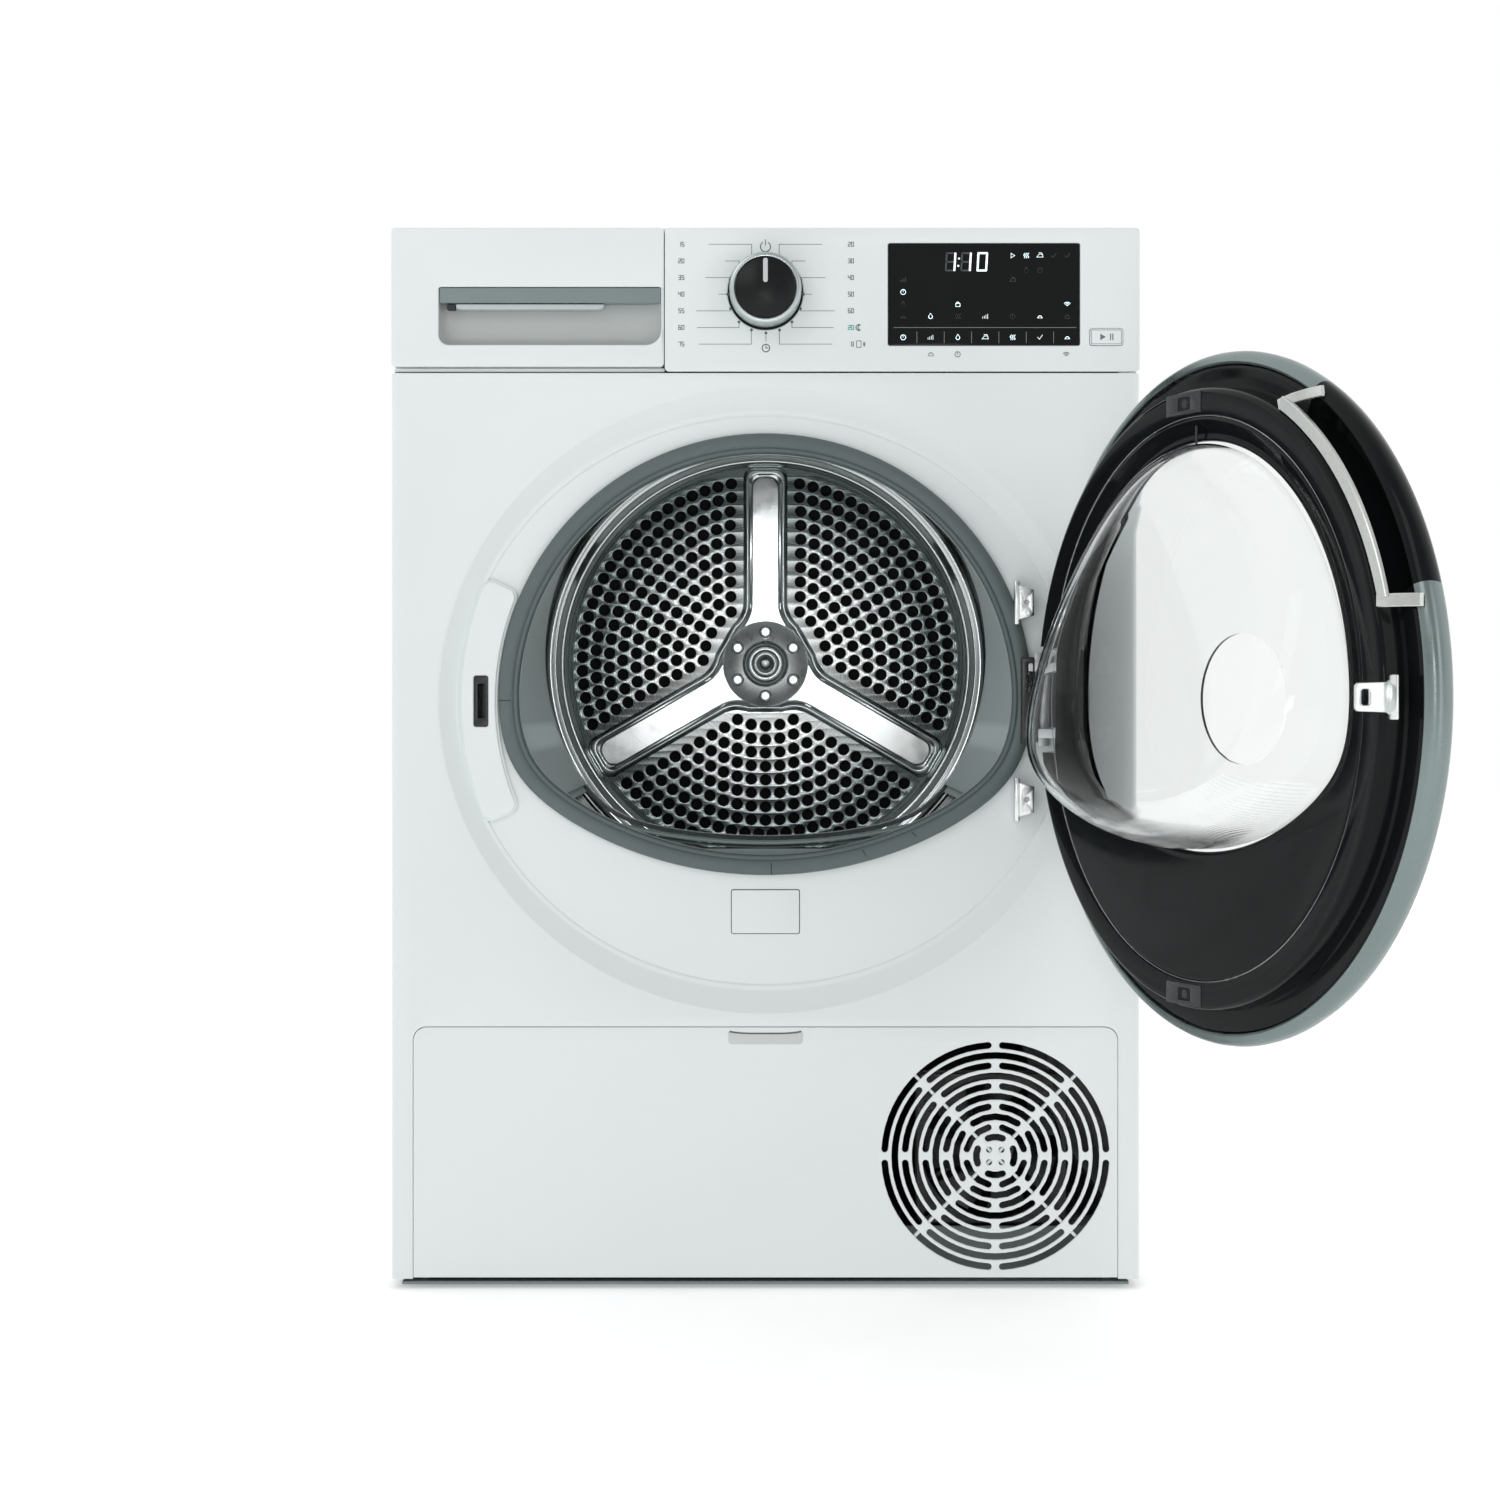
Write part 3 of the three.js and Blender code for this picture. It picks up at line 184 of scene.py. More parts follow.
def grained(name, colour, roughness, metallic=0.0, grain=900, bump=0.12, mottle=0.02, spread=0.05,
            stretch=(1, 1, 1), settings=()):
    """Moulded, painted or cast surface: fine grain, slight mottling and uneven gloss."""
    material, tree, shader = surface(name, colour, roughness, metallic, settings)
    broad = remap(tree, noise(tree, 7), 0, 1)
    tint(tree, shader, broad, [c * (1 - mottle) for c in colour], [min(1, c * (1 + mottle)) for c in colour])
    gloss = remap(tree, noise(tree, 60, stretch), roughness - spread, roughness + spread)
    tree.links.new(gloss, shader.inputs["Roughness"])
    if bump:
        relief(tree, shader, noise(tree, grain, stretch), bump)
    return material


def brushed(name, colour, roughness, stretch, bump=0.15, grain=500):
    return grained(name, colour, roughness, metallic=1.0, grain=grain, bump=bump, mottle=0.05, spread=0.08,
                   stretch=stretch)


def polar(tree, x, z):
    """Distance from the line through (x, z) along Y, over the object."""
    place = tree.nodes.new("ShaderNodeTexCoord")
    shift = tree.nodes.new("ShaderNodeMapping")
    shift.inputs["Location"].default_value = (-x, 0, -z)
    shift.inputs["Scale"].default_value = (1, 0, 1)
    length = tree.nodes.new("ShaderNodeVectorMath")
    length.operation = "LENGTH"
    tree.links.new(place.outputs["Object"], shift.inputs["Vector"])
    tree.links.new(shift.outputs["Vector"], length.inputs[0])
    return length.outputs["Value"]


def turned_steel(name, x, z, dark, light, fade, roughness=0.24):
    """Pressed stainless steel with fine rings round an axis, its colour going from light to dark between two
    radii; where the two colours differ this is painted highlight near the axis and painted shade farther out.
    """
    material, tree, shader = surface(name, light, roughness, 1.0)
    radius = polar(tree, x, z)
    tint(tree, shader, remap(tree, radius, 0, 1, *fade), light, dark)
    rings = tree.nodes.new("ShaderNodeTexNoise")
    rings.noise_dimensions = "1D"
    rings.inputs["Scale"].default_value = 900
    tree.links.new(radius, rings.inputs["W"])
    gloss = remap(tree, rings.outputs["Fac"], roughness - 0.05, roughness + 0.08)
    tree.links.new(gloss, shader.inputs["Roughness"])
    relief(tree, shader, rings.outputs["Fac"], 0.08, 0.0002)
    return material


def clear_glass(name, colour, roughness=0.02):
    glassy = {"Transmission Weight": 1.0, "IOR": 1.22}
    material, tree, shader = surface(name, colour, roughness, 0, glassy)
    relief(tree, shader, noise(tree, 12), 0.02, 0.002)
    return material


def lit(name, colour, strength):
    material, _, shader = surface(name, colour, 0.4)
    shader.inputs["Emission Color"].default_value = (*colour, 1)
    shader.inputs["Emission Strength"].default_value = strength
    return material


WHITE = (0.79, 0.835, 0.835)
white_paint = grained("white_enamel", WHITE, 0.42, grain=1400, bump=0.05, mottle=0.006)
white_plastic = grained("white_plastic", WHITE, 0.36, grain=2200, bump=0.04, mottle=0.006)
white_top = grained("white_laminate", WHITE, 0.45, grain=800, bump=0.08, mottle=0.01)
grey_plastic = grained("grey_plastic", (0.20, 0.25, 0.25), 0.5, grain=1200)
pale_plastic = grained("pale_grey_plastic", (0.45, 0.49, 0.48), 0.5, grain=1200)
trim_grey = grained("trim_grey", (0.20, 0.25, 0.25), 0.35, grain=1500, bump=0.05)
black_plastic = grained("black_plastic", (0.012, 0.014, 0.015), 0.28, grain=2400, bump=0.05, mottle=0.1)
black_gloss = grained("black_gloss", (0.006, 0.007, 0.0075), 0.1, grain=300, bump=0.01, mottle=0.1,
                      spread=0.03, settings={"Specular IOR Level": 0.12})
dark_gap = grained("shadow_gap", (0.03, 0.035, 0.035), 0.8, bump=0)
rubber = grained("grey_rubber", (0.105, 0.135, 0.135), 0.62, grain=1600, bump=0.2, mottle=0.05)
satin_silver = grained("satin_silver", (0.40, 0.44, 0.435), 0.32, metallic=0.85, grain=1800, bump=0.05,
                       mottle=0.03)
bright_metal = grained("bright_metal", (0.72, 0.75, 0.745), 0.22, metallic=1.0, grain=1500, bump=0.04,
                       mottle=0.03)
zinc = grained("zinc_plate", (0.55, 0.58, 0.59), 0.42, metallic=1.0, grain=120, bump=0.05, mottle=0.12,
               spread=0.1)
cast_metal = grained("black_lacquer", (0.02, 0.022, 0.024), 0.45, metallic=0.2, grain=500, bump=0.4,
                     mottle=0.1)
fins = brushed("mill_aluminium", (0.65, 0.66, 0.67), 0.38, (1, 20, 1))
board_green = grained("solder_resist", (0.02, 0.12, 0.05), 0.4, grain=300, bump=0.3, mottle=0.2)
tank_plastic = grained("tank_plastic", (0.62, 0.66, 0.655), 0.3, grain=700, bump=0.06,
                       settings={"Subsurface Weight": 0.15, "Subsurface Scale": 0.004})
belt_rubber = grained("belt_rubber", (0.015, 0.015, 0.015), 0.7, grain=900, bump=0.4)
glass = clear_glass("clear_glass", (0.99, 1.0, 0.997))
print_grey = grained("print_grey", (0.13, 0.155, 0.155), 0.5, bump=0)
print_teal = grained("print_teal", (0.05, 0.50, 0.42), 0.5, bump=0)
lamp_white = lit("display_lit", (0.80, 0.90, 0.93), 0.75)
lamp_dim = lit("display_dim", (0.05, 0.06, 0.065), 0.15)
# painted highlight and shade: the drum's rear sheet is coloured pale near the axis and dark farther out
drum_steel_painted_shade = turned_steel("drum_steel_painted_shade", 0, DRUM_Z, (0.24, 0.28, 0.28), (0.86, 0.90, 0.895), (0.05, 0.16))
rim_steel = turned_steel("rim_steel", 0, DRUM_Z, (0.50, 0.54, 0.535), (0.50, 0.54, 0.535), (0.05, 0.2),
                         roughness=0.16)
star_steel = grained("star_steel", (0.66, 0.72, 0.715), 0.2, metallic=1.0, grain=500, bump=0.03, mottle=0.06,
                     spread=0.05)

knob_silver = turned_steel("knob_silver", 0, KNOB_Z, (0.52, 0.58, 0.57), (0.52, 0.58, 0.57), (0.02, 0.03),
                           roughness=0.3)
knob_black = grained("knob_black", (0.008, 0.009, 0.0095), 0.3, grain=2000, bump=0.03,
                     settings={"Specular IOR Level": 0.2})
knob_mark = grained("knob_mark", (0.55, 0.58, 0.58), 0.4, bump=0)
display_glass = grained("display_glass", (0.006, 0.007, 0.007), 0.12, grain=300, bump=0.005, mottle=0.1,
                        spread=0.02, settings={"Specular IOR Level": 0.2})
lamp_mid = lit("display_mid", (0.25, 0.28, 0.28), 0.3)
print_slate = grained("print_slate", (0.12, 0.17, 0.20), 0.5, bump=0)
# painted shade: the drawer's pocket, the same white plastic as the drawer, is coloured darker for the shade in
# its recess
pocket_white_painted_shade = grained("pocket_white_painted_shade", (0.50, 0.53, 0.525), 0.4, grain=2200, bump=0.03, mottle=0.006)
trim_pale = grained("trim_pale", (0.50, 0.55, 0.55), 0.4, grain=1500, bump=0.04)
pale_white = grained("pale_white", (0.60, 0.63, 0.625), 0.4, grain=2200, bump=0.04, mottle=0.006)
dark_soft = grained("soft_shadow_line", (0.12, 0.13, 0.13), 0.7, bump=0)
rim_silver = grained("rim_silver", (0.22, 0.27, 0.265), 0.30, metallic=0.9, grain=1800, bump=0.05,
                     mottle=0.04)
trim_silver = grained("trim_silver", (0.62, 0.64, 0.62), 0.26, metallic=0.9, grain=1800, bump=0.05,
                      mottle=0.03)
# painted highlight: a light metallic colour on the thin seam bar stands for the glint along the flange's edge
seam_painted_glint = grained("seam_painted_glint", (0.45, 0.48, 0.48), 0.25, metallic=0.6, bump=0)
# painted shade: the throat sleeve, white plastic like the bulkhead, is coloured grey for the shade inside the
# opening
throat_sleeve_painted_shade = grained("throat_sleeve_painted_shade", (0.36, 0.42, 0.42), 0.4, grain=1800, bump=0.05, mottle=0.02)
grey_base = grained("base_grey", (0.20, 0.235, 0.235), 0.55, grain=900)
gauze = grained("filter_gauze_grey", (0.10, 0.125, 0.125), 0.8, grain=2500, bump=0.6, mottle=0.2)
behind_holes = grained("behind_holes", (0.015, 0.016, 0.016), 0.9, bump=0)
# painted highlight: the star's flat arms and the hub get a brighter copy of the drum's steel for the light on
# the drum's middle
arm_steel_painted_highlight = grained("arm_steel_painted_highlight", (0.88, 0.92, 0.915), 0.2, metallic=1.0, grain=300, bump=0.03, mottle=0.1,
                    spread=0.06, stretch=(1, 1, 1))
hub_steel_painted_highlight = grained("hub_steel_painted_highlight", (0.86, 0.90, 0.895), 0.28, metallic=1.0, grain=300, bump=0.02, mottle=0.04,
                    spread=0.03)
shell_steel = turned_steel("shell_steel", 0, DRUM_Z, (0.5, 0.53, 0.525), (0.5, 0.53, 0.525), (0.2, 0.3),
                           roughness=0.28)


# ---------------------------------------------------------------- shapes
def circle(x, z, radius, count=48):
    angles = (2 * math.pi * i / count for i in range(count))
    return [(x + radius * math.cos(a), z + radius * math.sin(a)) for a in angles]


def rounded(x0, x1, z0, z1, radius, steps=6):
    """Rectangle with round corners, as (x, z) points."""
    corners = ((x1, z0, -90), (x1, z1, 0), (x0, z1, 90), (x0, z0, 180))
    points = []
    for x, z, start in corners:
        cx = x - math.copysign(radius, x - (x0 + x1) / 2)
        cz = z - math.copysign(radius, z - (z0 + z1) / 2)
        for i in range(steps + 1):
            a = math.radians(start + 90 * i / steps)
            points.append((cx + radius * math.cos(a), cz + radius * math.sin(a)))
    return points


def bent(points, x, z, radius, angle):
    """Wraps points (along, outward) round the circle of that radius, with along = 0 at the angle."""
    return [(x + (radius + v) * math.cos(angle + u / radius), z + (radius + v) * math.sin(angle + u / radius))
            for u, v in points]


def arc_slot(x, z, radius, width, middle, span, steps=10):
    """A slot with round ends that follows a circle."""
    half, r = radius * span / 2 - width / 2, width / 2
    count = max(3, int(half / 0.004))
    ends = [[(side * (half + r * math.cos(a)), side * r * math.sin(a))
             for a in (math.pi * (i / steps - 0.5) for i in range(steps + 1))] for side in (1, -1)]
    runs = [[(side * half * (1 - 2 * i / count), side * r) for i in range(1, count)] for side in (1, -1)]
    return bent(ends[0] + runs[0] + ends[1] + runs[1], x, z, radius, middle)


def reach(circles, grow):
    """Distance from the opening's middle to the nearest of the circles, with rounded corners."""
    def at(angle):
        total = 0
        for z, r in circles:
            rise = z - OPENING_Z
            along = rise * math.sin(angle)
            total += (along + math.sqrt(along ** 2 - rise ** 2 + (r + grow) ** 2)) ** -20
        return total ** (-1 / 20)
    return at


def loop(radius_at, y, count=ROUND):
    """Points at depth y whose distance from the opening's middle is radius_at(angle)."""
    angles = (2 * math.pi * (i + 0.5) / count for i in range(count))
    return [Vector((radius_at(a) * math.cos(a), y, OPENING_Z + radius_at(a) * math.sin(a))) for a in angles]


def opening(grow, y):
    return loop(reach(OPENING, grow), y)


def throat(grow, y):
    return loop(reach(THROAT, grow), y)


def ellipse(half, grow, y, count=ROUND):
    a, b = half[0] + grow, half[1] + grow
    return loop(lambda t: a * b / math.hypot(b * math.cos(t), a * math.sin(t)), y, count)


def flat(points):
    """The (x, z) outline of a loop of points."""
    return [(p.x, p.z) for p in points]


def skin(loops, ring=False):
    """Faces through equal loops of points in turn: back to the first for a ring, else closed at both ends."""
    shape = bmesh.new()
    rows = [[shape.verts.new(p) for p in points] for points in loops]
    count = len(rows[0])
    for near, far in list(zip(rows, rows[1:])) + ([(rows[-1], rows[0])] if ring else []):
        for i in range(count):
            j = (i + 1) % count
            shape.faces.new((near[i], near[j], far[j], far[i]))
    if not ring:
        shape.faces.new(rows[0])
        shape.faces.new(rows[-1])
    bmesh.ops.remove_doubles(shape, verts=shape.verts, dist=1e-7)
    bmesh.ops.recalc_face_normals(shape, faces=shape.faces)
    return shape


def turned(profile, x, z, steps=96):
    """Profile of (radius, y) turned about the line through (x, z) along Y; a closed profile makes a ring."""
    ring = profile[0] == profile[-1]
    rows = [[Vector((u, y, v)) for u, v in circle(x, z, max(r, 1e-6), steps)] for r, y in profile]
    return skin(rows[:-1] if ring else rows, ring)


def from_object(obj):
    """The evaluated mesh of a helper object, which is then removed."""
    bpy.context.scene.collection.objects.link(obj)
    mesh = bpy.data.meshes.new_from_object(obj.evaluated_get(bpy.context.evaluated_depsgraph_get()))
    shape = bmesh.new()
    shape.from_mesh(mesh)
    bpy.data.objects.remove(obj)
    return shape


def plate(outlines, front, back, bevel=0.0003, rounds=2):
    """A plate in X and Z between two depths, its edges rounded. The outlines after the first are holes."""
    curve = bpy.data.curves.new("outline", "CURVE")
    curve.dimensions, curve.fill_mode = "2D", "BOTH"
    curve.extrude = (back - front) / 2 - bevel
    curve.bevel_depth, curve.bevel_resolution, curve.offset = bevel, rounds, -bevel
    for points in outlines:
        spline = curve.splines.new("POLY")
        spline.points.add(len(points) - 1)
        spline.use_cyclic_u = True
        for point, (u, v) in zip(spline.points, points):
            point.co = (u, v, 0, 1)
    shape = from_object(bpy.data.objects.new("outline", curve))
    shape.transform(Matrix.Translation((0, (front + back) / 2, 0)) @ Matrix.Rotation(math.pi / 2, 4, "X"))
    bmesh.ops.remove_doubles(shape, verts=shape.verts, dist=1e-6)
    bmesh.ops.recalc_face_normals(shape, faces=shape.faces)
    return shape


def bars(paths, radius, closed=False, sides=2):
    """Round bars along each path of points."""
    curve = bpy.data.curves.new("bars", "CURVE")
    curve.dimensions, curve.bevel_depth, curve.bevel_resolution = "3D", radius, sides
    curve.use_fill_caps = True
    for path in paths:
        spline = curve.splines.new("POLY")
        spline.points.add(len(path) - 1)
        spline.use_cyclic_u = closed
        for point, place in zip(spline.points, path):
            point.co = (*place, 1)
    return from_object(bpy.data.objects.new("bars", curve))


def block(xs, ys, zs, bevel=0.0008, rounds=2):
    """A box with rounded edges."""
    shape = bmesh.new()
    bmesh.ops.create_cube(shape, size=1)
    for vert in shape.verts:
        vert.co = [low + (high - low) * (c + 0.5) for c, (low, high) in zip(vert.co, (xs, ys, zs))]
    if bevel:
        bmesh.ops.bevel(shape, geom=list(shape.edges), offset=bevel, segments=rounds, affect="EDGES",
                        profile=0.5)
    return shape


def merged(*shapes):
    whole = bmesh.new()
    for shape in shapes:
        mesh = bpy.data.meshes.new("part")
        shape.to_mesh(mesh)
        whole.from_mesh(mesh)
        bpy.data.meshes.remove(mesh)
    return whole


def lying(shape):
    """Turns a plate drawn in X and Z so that it lies flat, its front face up."""
    shape.transform(Matrix.Rotation(-math.pi / 2, 4, "X"))
    return shape


def moved(shape, *steps):
    for step in steps:
        shape.transform(step)
    return shape


def add(name, shape, body, material, replaces=(), sharp=35):
    """Adds a piece that rides on a body. The door's pieces are drawn closed, and are turned open here."""
    mesh = bpy.data.meshes.new(name)
    if body == "door":
        shape.transform(OPENED)
    shape.to_mesh(mesh)
    shape.free()
    for look in material if isinstance(material, (list, tuple)) else [material]:
        mesh.materials.append(look)
    mesh.shade_smooth()
    mesh.set_sharp_from_angle(angle=math.radians(sharp))
    piece = bpy.data.objects.new(name, mesh)
    bpy.context.scene.collection.objects.link(piece)
    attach(piece, body)
    if replaces:
        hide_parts(*replaces)
    return piece


def coat(looks):
    """Gives each CAD node that stays in view its material."""
    for node, look in looks.items():
        mesh = frame["nodes"][node].data
        mesh.materials.clear()
        mesh.materials.append(look)


def screw(x, z, face, radius=0.0038, depth=0.0018):
    """Pan head with a cross recess, its face towards -Y."""
    arm, width = radius * 0.55, radius * 0.14
    cross = [(arm, -width), (arm, width), (width, width), (width, arm), (-width, arm), (-width, width),
             (-arm, width), (-arm, -width), (-width, -width), (-width, -arm), (width, -arm), (width, -width)]
    head = plate([circle(x, z, radius, 32), [(x + u, z + v) for u, v in cross]], face - depth, face,
                 bevel=radius * 0.25, rounds=3)
    floor = plate([circle(x, z, radius * 0.8, 24)], face - depth * 0.35, face, bevel=0)
    return merged(head, floor)


# ---------------------------------------------------------------- casing
def add_front_panel():
    bend, sheet = 0.005, 0.0012
    notch, top, corner = 0.2811, 0.2091, 0.0108
    edge = SIDE - bend
    arch = [(x, z) for x, z in reversed(rounded(-notch, notch, SKIRT - 0.05, top, corner)) if z > SKIRT]
    outline = [(-edge, SKIRT), (-notch, SKIRT), *arch, (notch, SKIRT), (edge, SKIRT), (edge, SEAM),
               (-edge, SEAM)]
    face = plate([outline, flat(ellipse(RECESS_OUTER, 0.0006, 0))], FRONT, FRONT + sheet, bevel=0.0002,
                 rounds=1)
    sides = []
    for side in (-1, 1):
        section = []
        for r, turn in ((bend, 1), (bend - sheet, -1)):
            fold = [(r * math.sin(math.pi / 16 * i), bend - r * math.cos(math.pi / 16 * i)) for i in range(9)]
            run = [*fold, (r, FOLD_BACK - FRONT)]
            section += run if turn > 0 else run[::-1]
        loops = [[Vector((side * (edge - 0.0002 + u), FRONT + v, z)) for u, v in section]
                 for z in (SKIRT, SEAM)]
        sides.append(skin(loops))
    add("front_panel_sheet", merged(face, *sides), "cabinet", white_paint, ["front_panel"],
        sharp=50)

    depth = RECESS_Y - FRONT
    fall = [(-0.04, 0), (0, 0.0), (0.03, 0.02), (0.07, 0.07), (0.13, 0.15), (0.86, 0.9), (0.92, 0.965),
            (0.97, 0.99), (1.02, 1), (1.12, 1), (1.15, 1.03), (1.19, 1.12), (1.24, 1.12)]
    front = []
    for t, drop in fall:
        half = [o + (i - o) * t for o, i in zip(RECESS_OUTER, RECESS_INNER)]
        front.append(ellipse(half, 0, FRONT + depth * drop))
    floor = FRONT + depth * fall[-1][1]
    back = [[p + Vector((0, sheet, 0)) for p in points] for points in reversed(front)]
    catch = rounded(*CATCH_HOLE, 0.001)
    base = plate([flat(front[-1]), flat(opening(0.012, 0)), catch], floor, floor + sheet, bevel=0, rounds=1)
    add("door_recess", merged(skin(front + back, ring=True), base), "cabinet", white_paint,
        sharp=50)


def add_small_cover():
    """Small cover plate below the opening, edged by a fine dark joint."""
    x, low, high = 0.0276, 0.2820, 0.3178
    face = RECESS_Y + 0.0012
    joint = plate([rounded(-x, x, low, high, 0.0018)], face - 0.0003, face + 0.0003, bevel=0.0001, rounds=1)
    cover = plate([rounded(-x + 0.0006, x - 0.0006, low + 0.0006, high - 0.0006, 0.0014)], face - 0.0009,
                  face, bevel=0.0003)
    add("small_cover_joint", joint, "cabinet", dark_gap)
    add("small_cover", cover, "cabinet", white_paint)


def pressed_sheet(outer, inner, depth):
    """A sheet in X and Z at y = 0, with a field inside inner pressed back by depth."""
    slope = [rounded(*inner, 0.03, 12), rounded(inner[0] + 0.004, inner[1] - 0.004, inner[2] + 0.004,
                                                inner[3] - 0.004, 0.026, 12)]
    border = plate([rounded(*outer, 0.0015), slope[0]], 0, 0.0012, bevel=0.0002, rounds=1)
    field = plate([slope[1]], depth, depth + 0.0012, bevel=0, rounds=1)
    loops = [[Vector((u, y, v)) for u, v in points] for points, y in
             ((slope[0], 0), (slope[1], depth), (slope[1], depth + 0.0012), (slope[0], 0.0012))]
    return merged(border, field, skin(loops, ring=True))


def add_side_panels():
    front, rear = FOLD_BACK + 0.0004, REAR - 0.010
    low, high = SKIRT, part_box("right_side_panel")[1].z
    for side, name in ((-1, "left"), (1, "right")):
        sheet = pressed_sheet((front, rear, low, high), (front + 0.07, rear - 0.07, low + 0.09, high - 0.09),
                              0.0018)
        turn = Matrix.Rotation(math.radians(90), 4, "Z")
        sheet = moved(sheet, turn, Matrix.Translation((SIDE, 0, 0)))
        flanges = [block((SIDE - 0.014, SIDE), (y, y + 0.0012), (low, high), bevel=0.0002, rounds=1)
                   for y in (front, rear - 0.0012)]
        whole = merged(sheet, *flanges)
        if side < 0:
            whole.transform(Matrix.Scale(-1, 4, (1, 0, 0)))
            bmesh.ops.reverse_faces(whole, faces=whole.faces)
        add(f"{name}_side_sheet", whole, "cabinet", white_paint, [f"{name}_side_panel"])


def add_worktop():
    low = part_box("worktop")[0].z
    board = lying(plate([rounded(-SIDE, SIDE, FOLD_BACK + 0.0004, REAR, 0.004)], -HEIGHT, -low, bevel=0.0015,
                        rounds=4))
    add("worktop_board", board, "cabinet", white_top, ["worktop"])
    strip = block((-SIDE + 0.001, SIDE - 0.001), (REAR - 0.014, REAR - 0.0002),
                  (low + 0.0005, HEIGHT - 0.0004), bevel=0.0006)
    add("worktop_rear_strip", strip, "cabinet", grey_plastic)


def add_back():
    face = REAR - 0.0085
    places = [(x, z) for x in (-0.284, 0.284) for z in (0.05, 0.22, 0.42, 0.62, 0.80)]
    places += [(x, z) for x in (-0.14, 0.0, 0.14) for z in (0.022, 0.815)]
    ring = [(0.222 * math.cos(a), DRUM_Z + 0.222 * math.sin(a))
            for a in (math.pi / 4 * (i + 0.5) for i in range(8))]
    turn = Matrix.Rotation(math.pi, 4, "Z")
    heads = merged(*(screw(-x, z, -face) for x, z in places + ring))
    add("rear_screws", moved(heads, turn), "cabinet", zinc)
    beads = [[(-0.27 + 0.54 * i / 12, face - 0.0004, z) for i in range(13)]
             for z in (0.262, 0.272, 0.752, 0.762)]
    add("rear_beads", bars(beads, 0.0022), "cabinet", zinc)
    circles = [[(u, REAR - 0.0013, v) for u, v in circle(0, DRUM_Z, r, 96)] for r in (0.06, 0.13, 0.19)]
    rings = bars(circles, 0.0012, closed=True)
    add("duct_cover_beads", rings, "cabinet", zinc)


def add_feet():
    for node in ("front_left_foot", "front_right_foot", "rear_left_foot", "rear_right_foot"):
        low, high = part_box(node)
        x, y, radius = (low.x + high.x) / 2, (low.y + high.y) / 2, (high.x - low.x) / 2
        profile = [(0, 0), (radius - 0.001, 0), (radius, 0.001), (radius, 0.0065), (radius - 0.001, 0.008),
                   (0.0075, 0.008), (0.0065, 0.012), (0.005, 0.0125)]
        for i in range(9):
            profile += [(0.0048, 0.013 + 0.003 * i), (0.0040, 0.0145 + 0.003 * i)]
        profile += [(0.0045, 0.0395), (0, 0.040)]
        foot = turned([(r, -z) for r, z in profile], 0, 0, 48)
        for vert in foot.verts:
            ridge = 0.0005 * math.cos(16 * math.atan2(vert.co.z, vert.co.x))
            if math.hypot(vert.co.x, vert.co.z) > radius - 0.0005 and -vert.co.y > 0.0009:
                vert.co.x *= 1 - abs(ridge) / radius
                vert.co.z *= 1 - abs(ridge) / radius
        foot = moved(foot, Matrix.Rotation(-math.pi / 2, 4, "X"), Matrix.Translation((x, y, 0)))
        body = "foot_" + "_".join(node.split("_")[:2])
        add(f"{node}_pad", foot, body, black_plastic, [node], sharp=40)


# ---------------------------------------------------------------- load opening
def add_bulkhead():
    front, wall, slot = RECESS_Y + 0.0066, 0.003, 0.1512
    places = ((front, opening, 0), (front + 0.0024, opening, 0), (-0.253, throat, 0), (-0.250, throat, 0),
              (-0.234, throat, 0))
    inner = [shape(grow - 0.0003, y) for y, shape, grow in places]
    outer = [shape(wall, y) for y, shape, _ in reversed(places)]
    sleeve = skin(inner + outer, ring=True)
    under = []  # the gap in the sleeve's floor that the filter drops into
    for face in sleeve.faces:
        middle = face.calc_center_median()
        if middle.z < OPENING_Z and abs(middle.x) < slot and -0.2805 < middle.y < -0.2535:
            under.append(face)
    bmesh.ops.delete(sleeve, geom=under, context="FACES")
    board = plate([rounded(-0.284, 0.284, 0.215, 0.726, 0.03), flat(opening(0.0028, 0)),
                   rounded(*CATCH_HOLE, 0.001)], front, front + 0.002, bevel=0.0004)
    duct = [(-0.154, 0.205), (0.154, 0.205), (0.154, 0.352), (0.151, 0.352), (0.151, 0.208), (-0.151, 0.208),
            (-0.151, 0.352), (-0.154, 0.352)]
    box = plate([duct], front, -0.2505, bevel=0.0004)
    pins = [turned([(0, front + 0.001), (0.004, front + 0.001), (0.004, -0.203), (0, -0.203)], side * 0.186,
                   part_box("left_support_roller")[0].z + 0.022, 24) for side in (-1, 1)]
    add("front_bulkhead_shell", merged(board, box, *pins), "cabinet", white_plastic,
        ["front_bulkhead"], sharp=40)
    add("throat_sleeve", sleeve, "cabinet", throat_sleeve_painted_shade, sharp=40)


def add_seal():
    section = [(16, -0.3), (16.1, -2), (15.4, -4.2), (13.8, -6.0), (11.4, -7.2), (8.8, -7.4), (6.4, -6.9),
               (4.9, -5.8), (4.2, -4.9), (3.5, -5.6), (2.4, -6.0), (1.2, -5.4), (0.4, -3.8), (0.1, -1),
               (0, 3), (0.4, 5.6), (3, 6.2), (6.6, 6), (7, 5), (7, -0.3)]
    loops = [opening(d / 1000, RECESS_Y + y / 1000) for d, y in section]
    add("door_gasket", skin(loops, ring=True), "cabinet", rubber, ["door_seal"], sharp=50)
    radius = reach(OPENING, 0)
    ticks = []
    for degrees in (0, 180, 272, 303, 318):
        a = math.radians(degrees)
        paths = [[((radius(a) + d) * math.cos(a), RECESS_Y - y, OPENING_Z + (radius(a) + d) * math.sin(a))
                  for d, y in ((0.0158, 0.0035), (0.0138, 0.0060), (0.0112, 0.0072), (0.0086, 0.0074),
                               (0.0062, 0.0068))]]
        ticks.append(bars(paths, 0.00035, sides=1))
    add("gasket_joints", merged(*ticks), "cabinet", dark_gap)


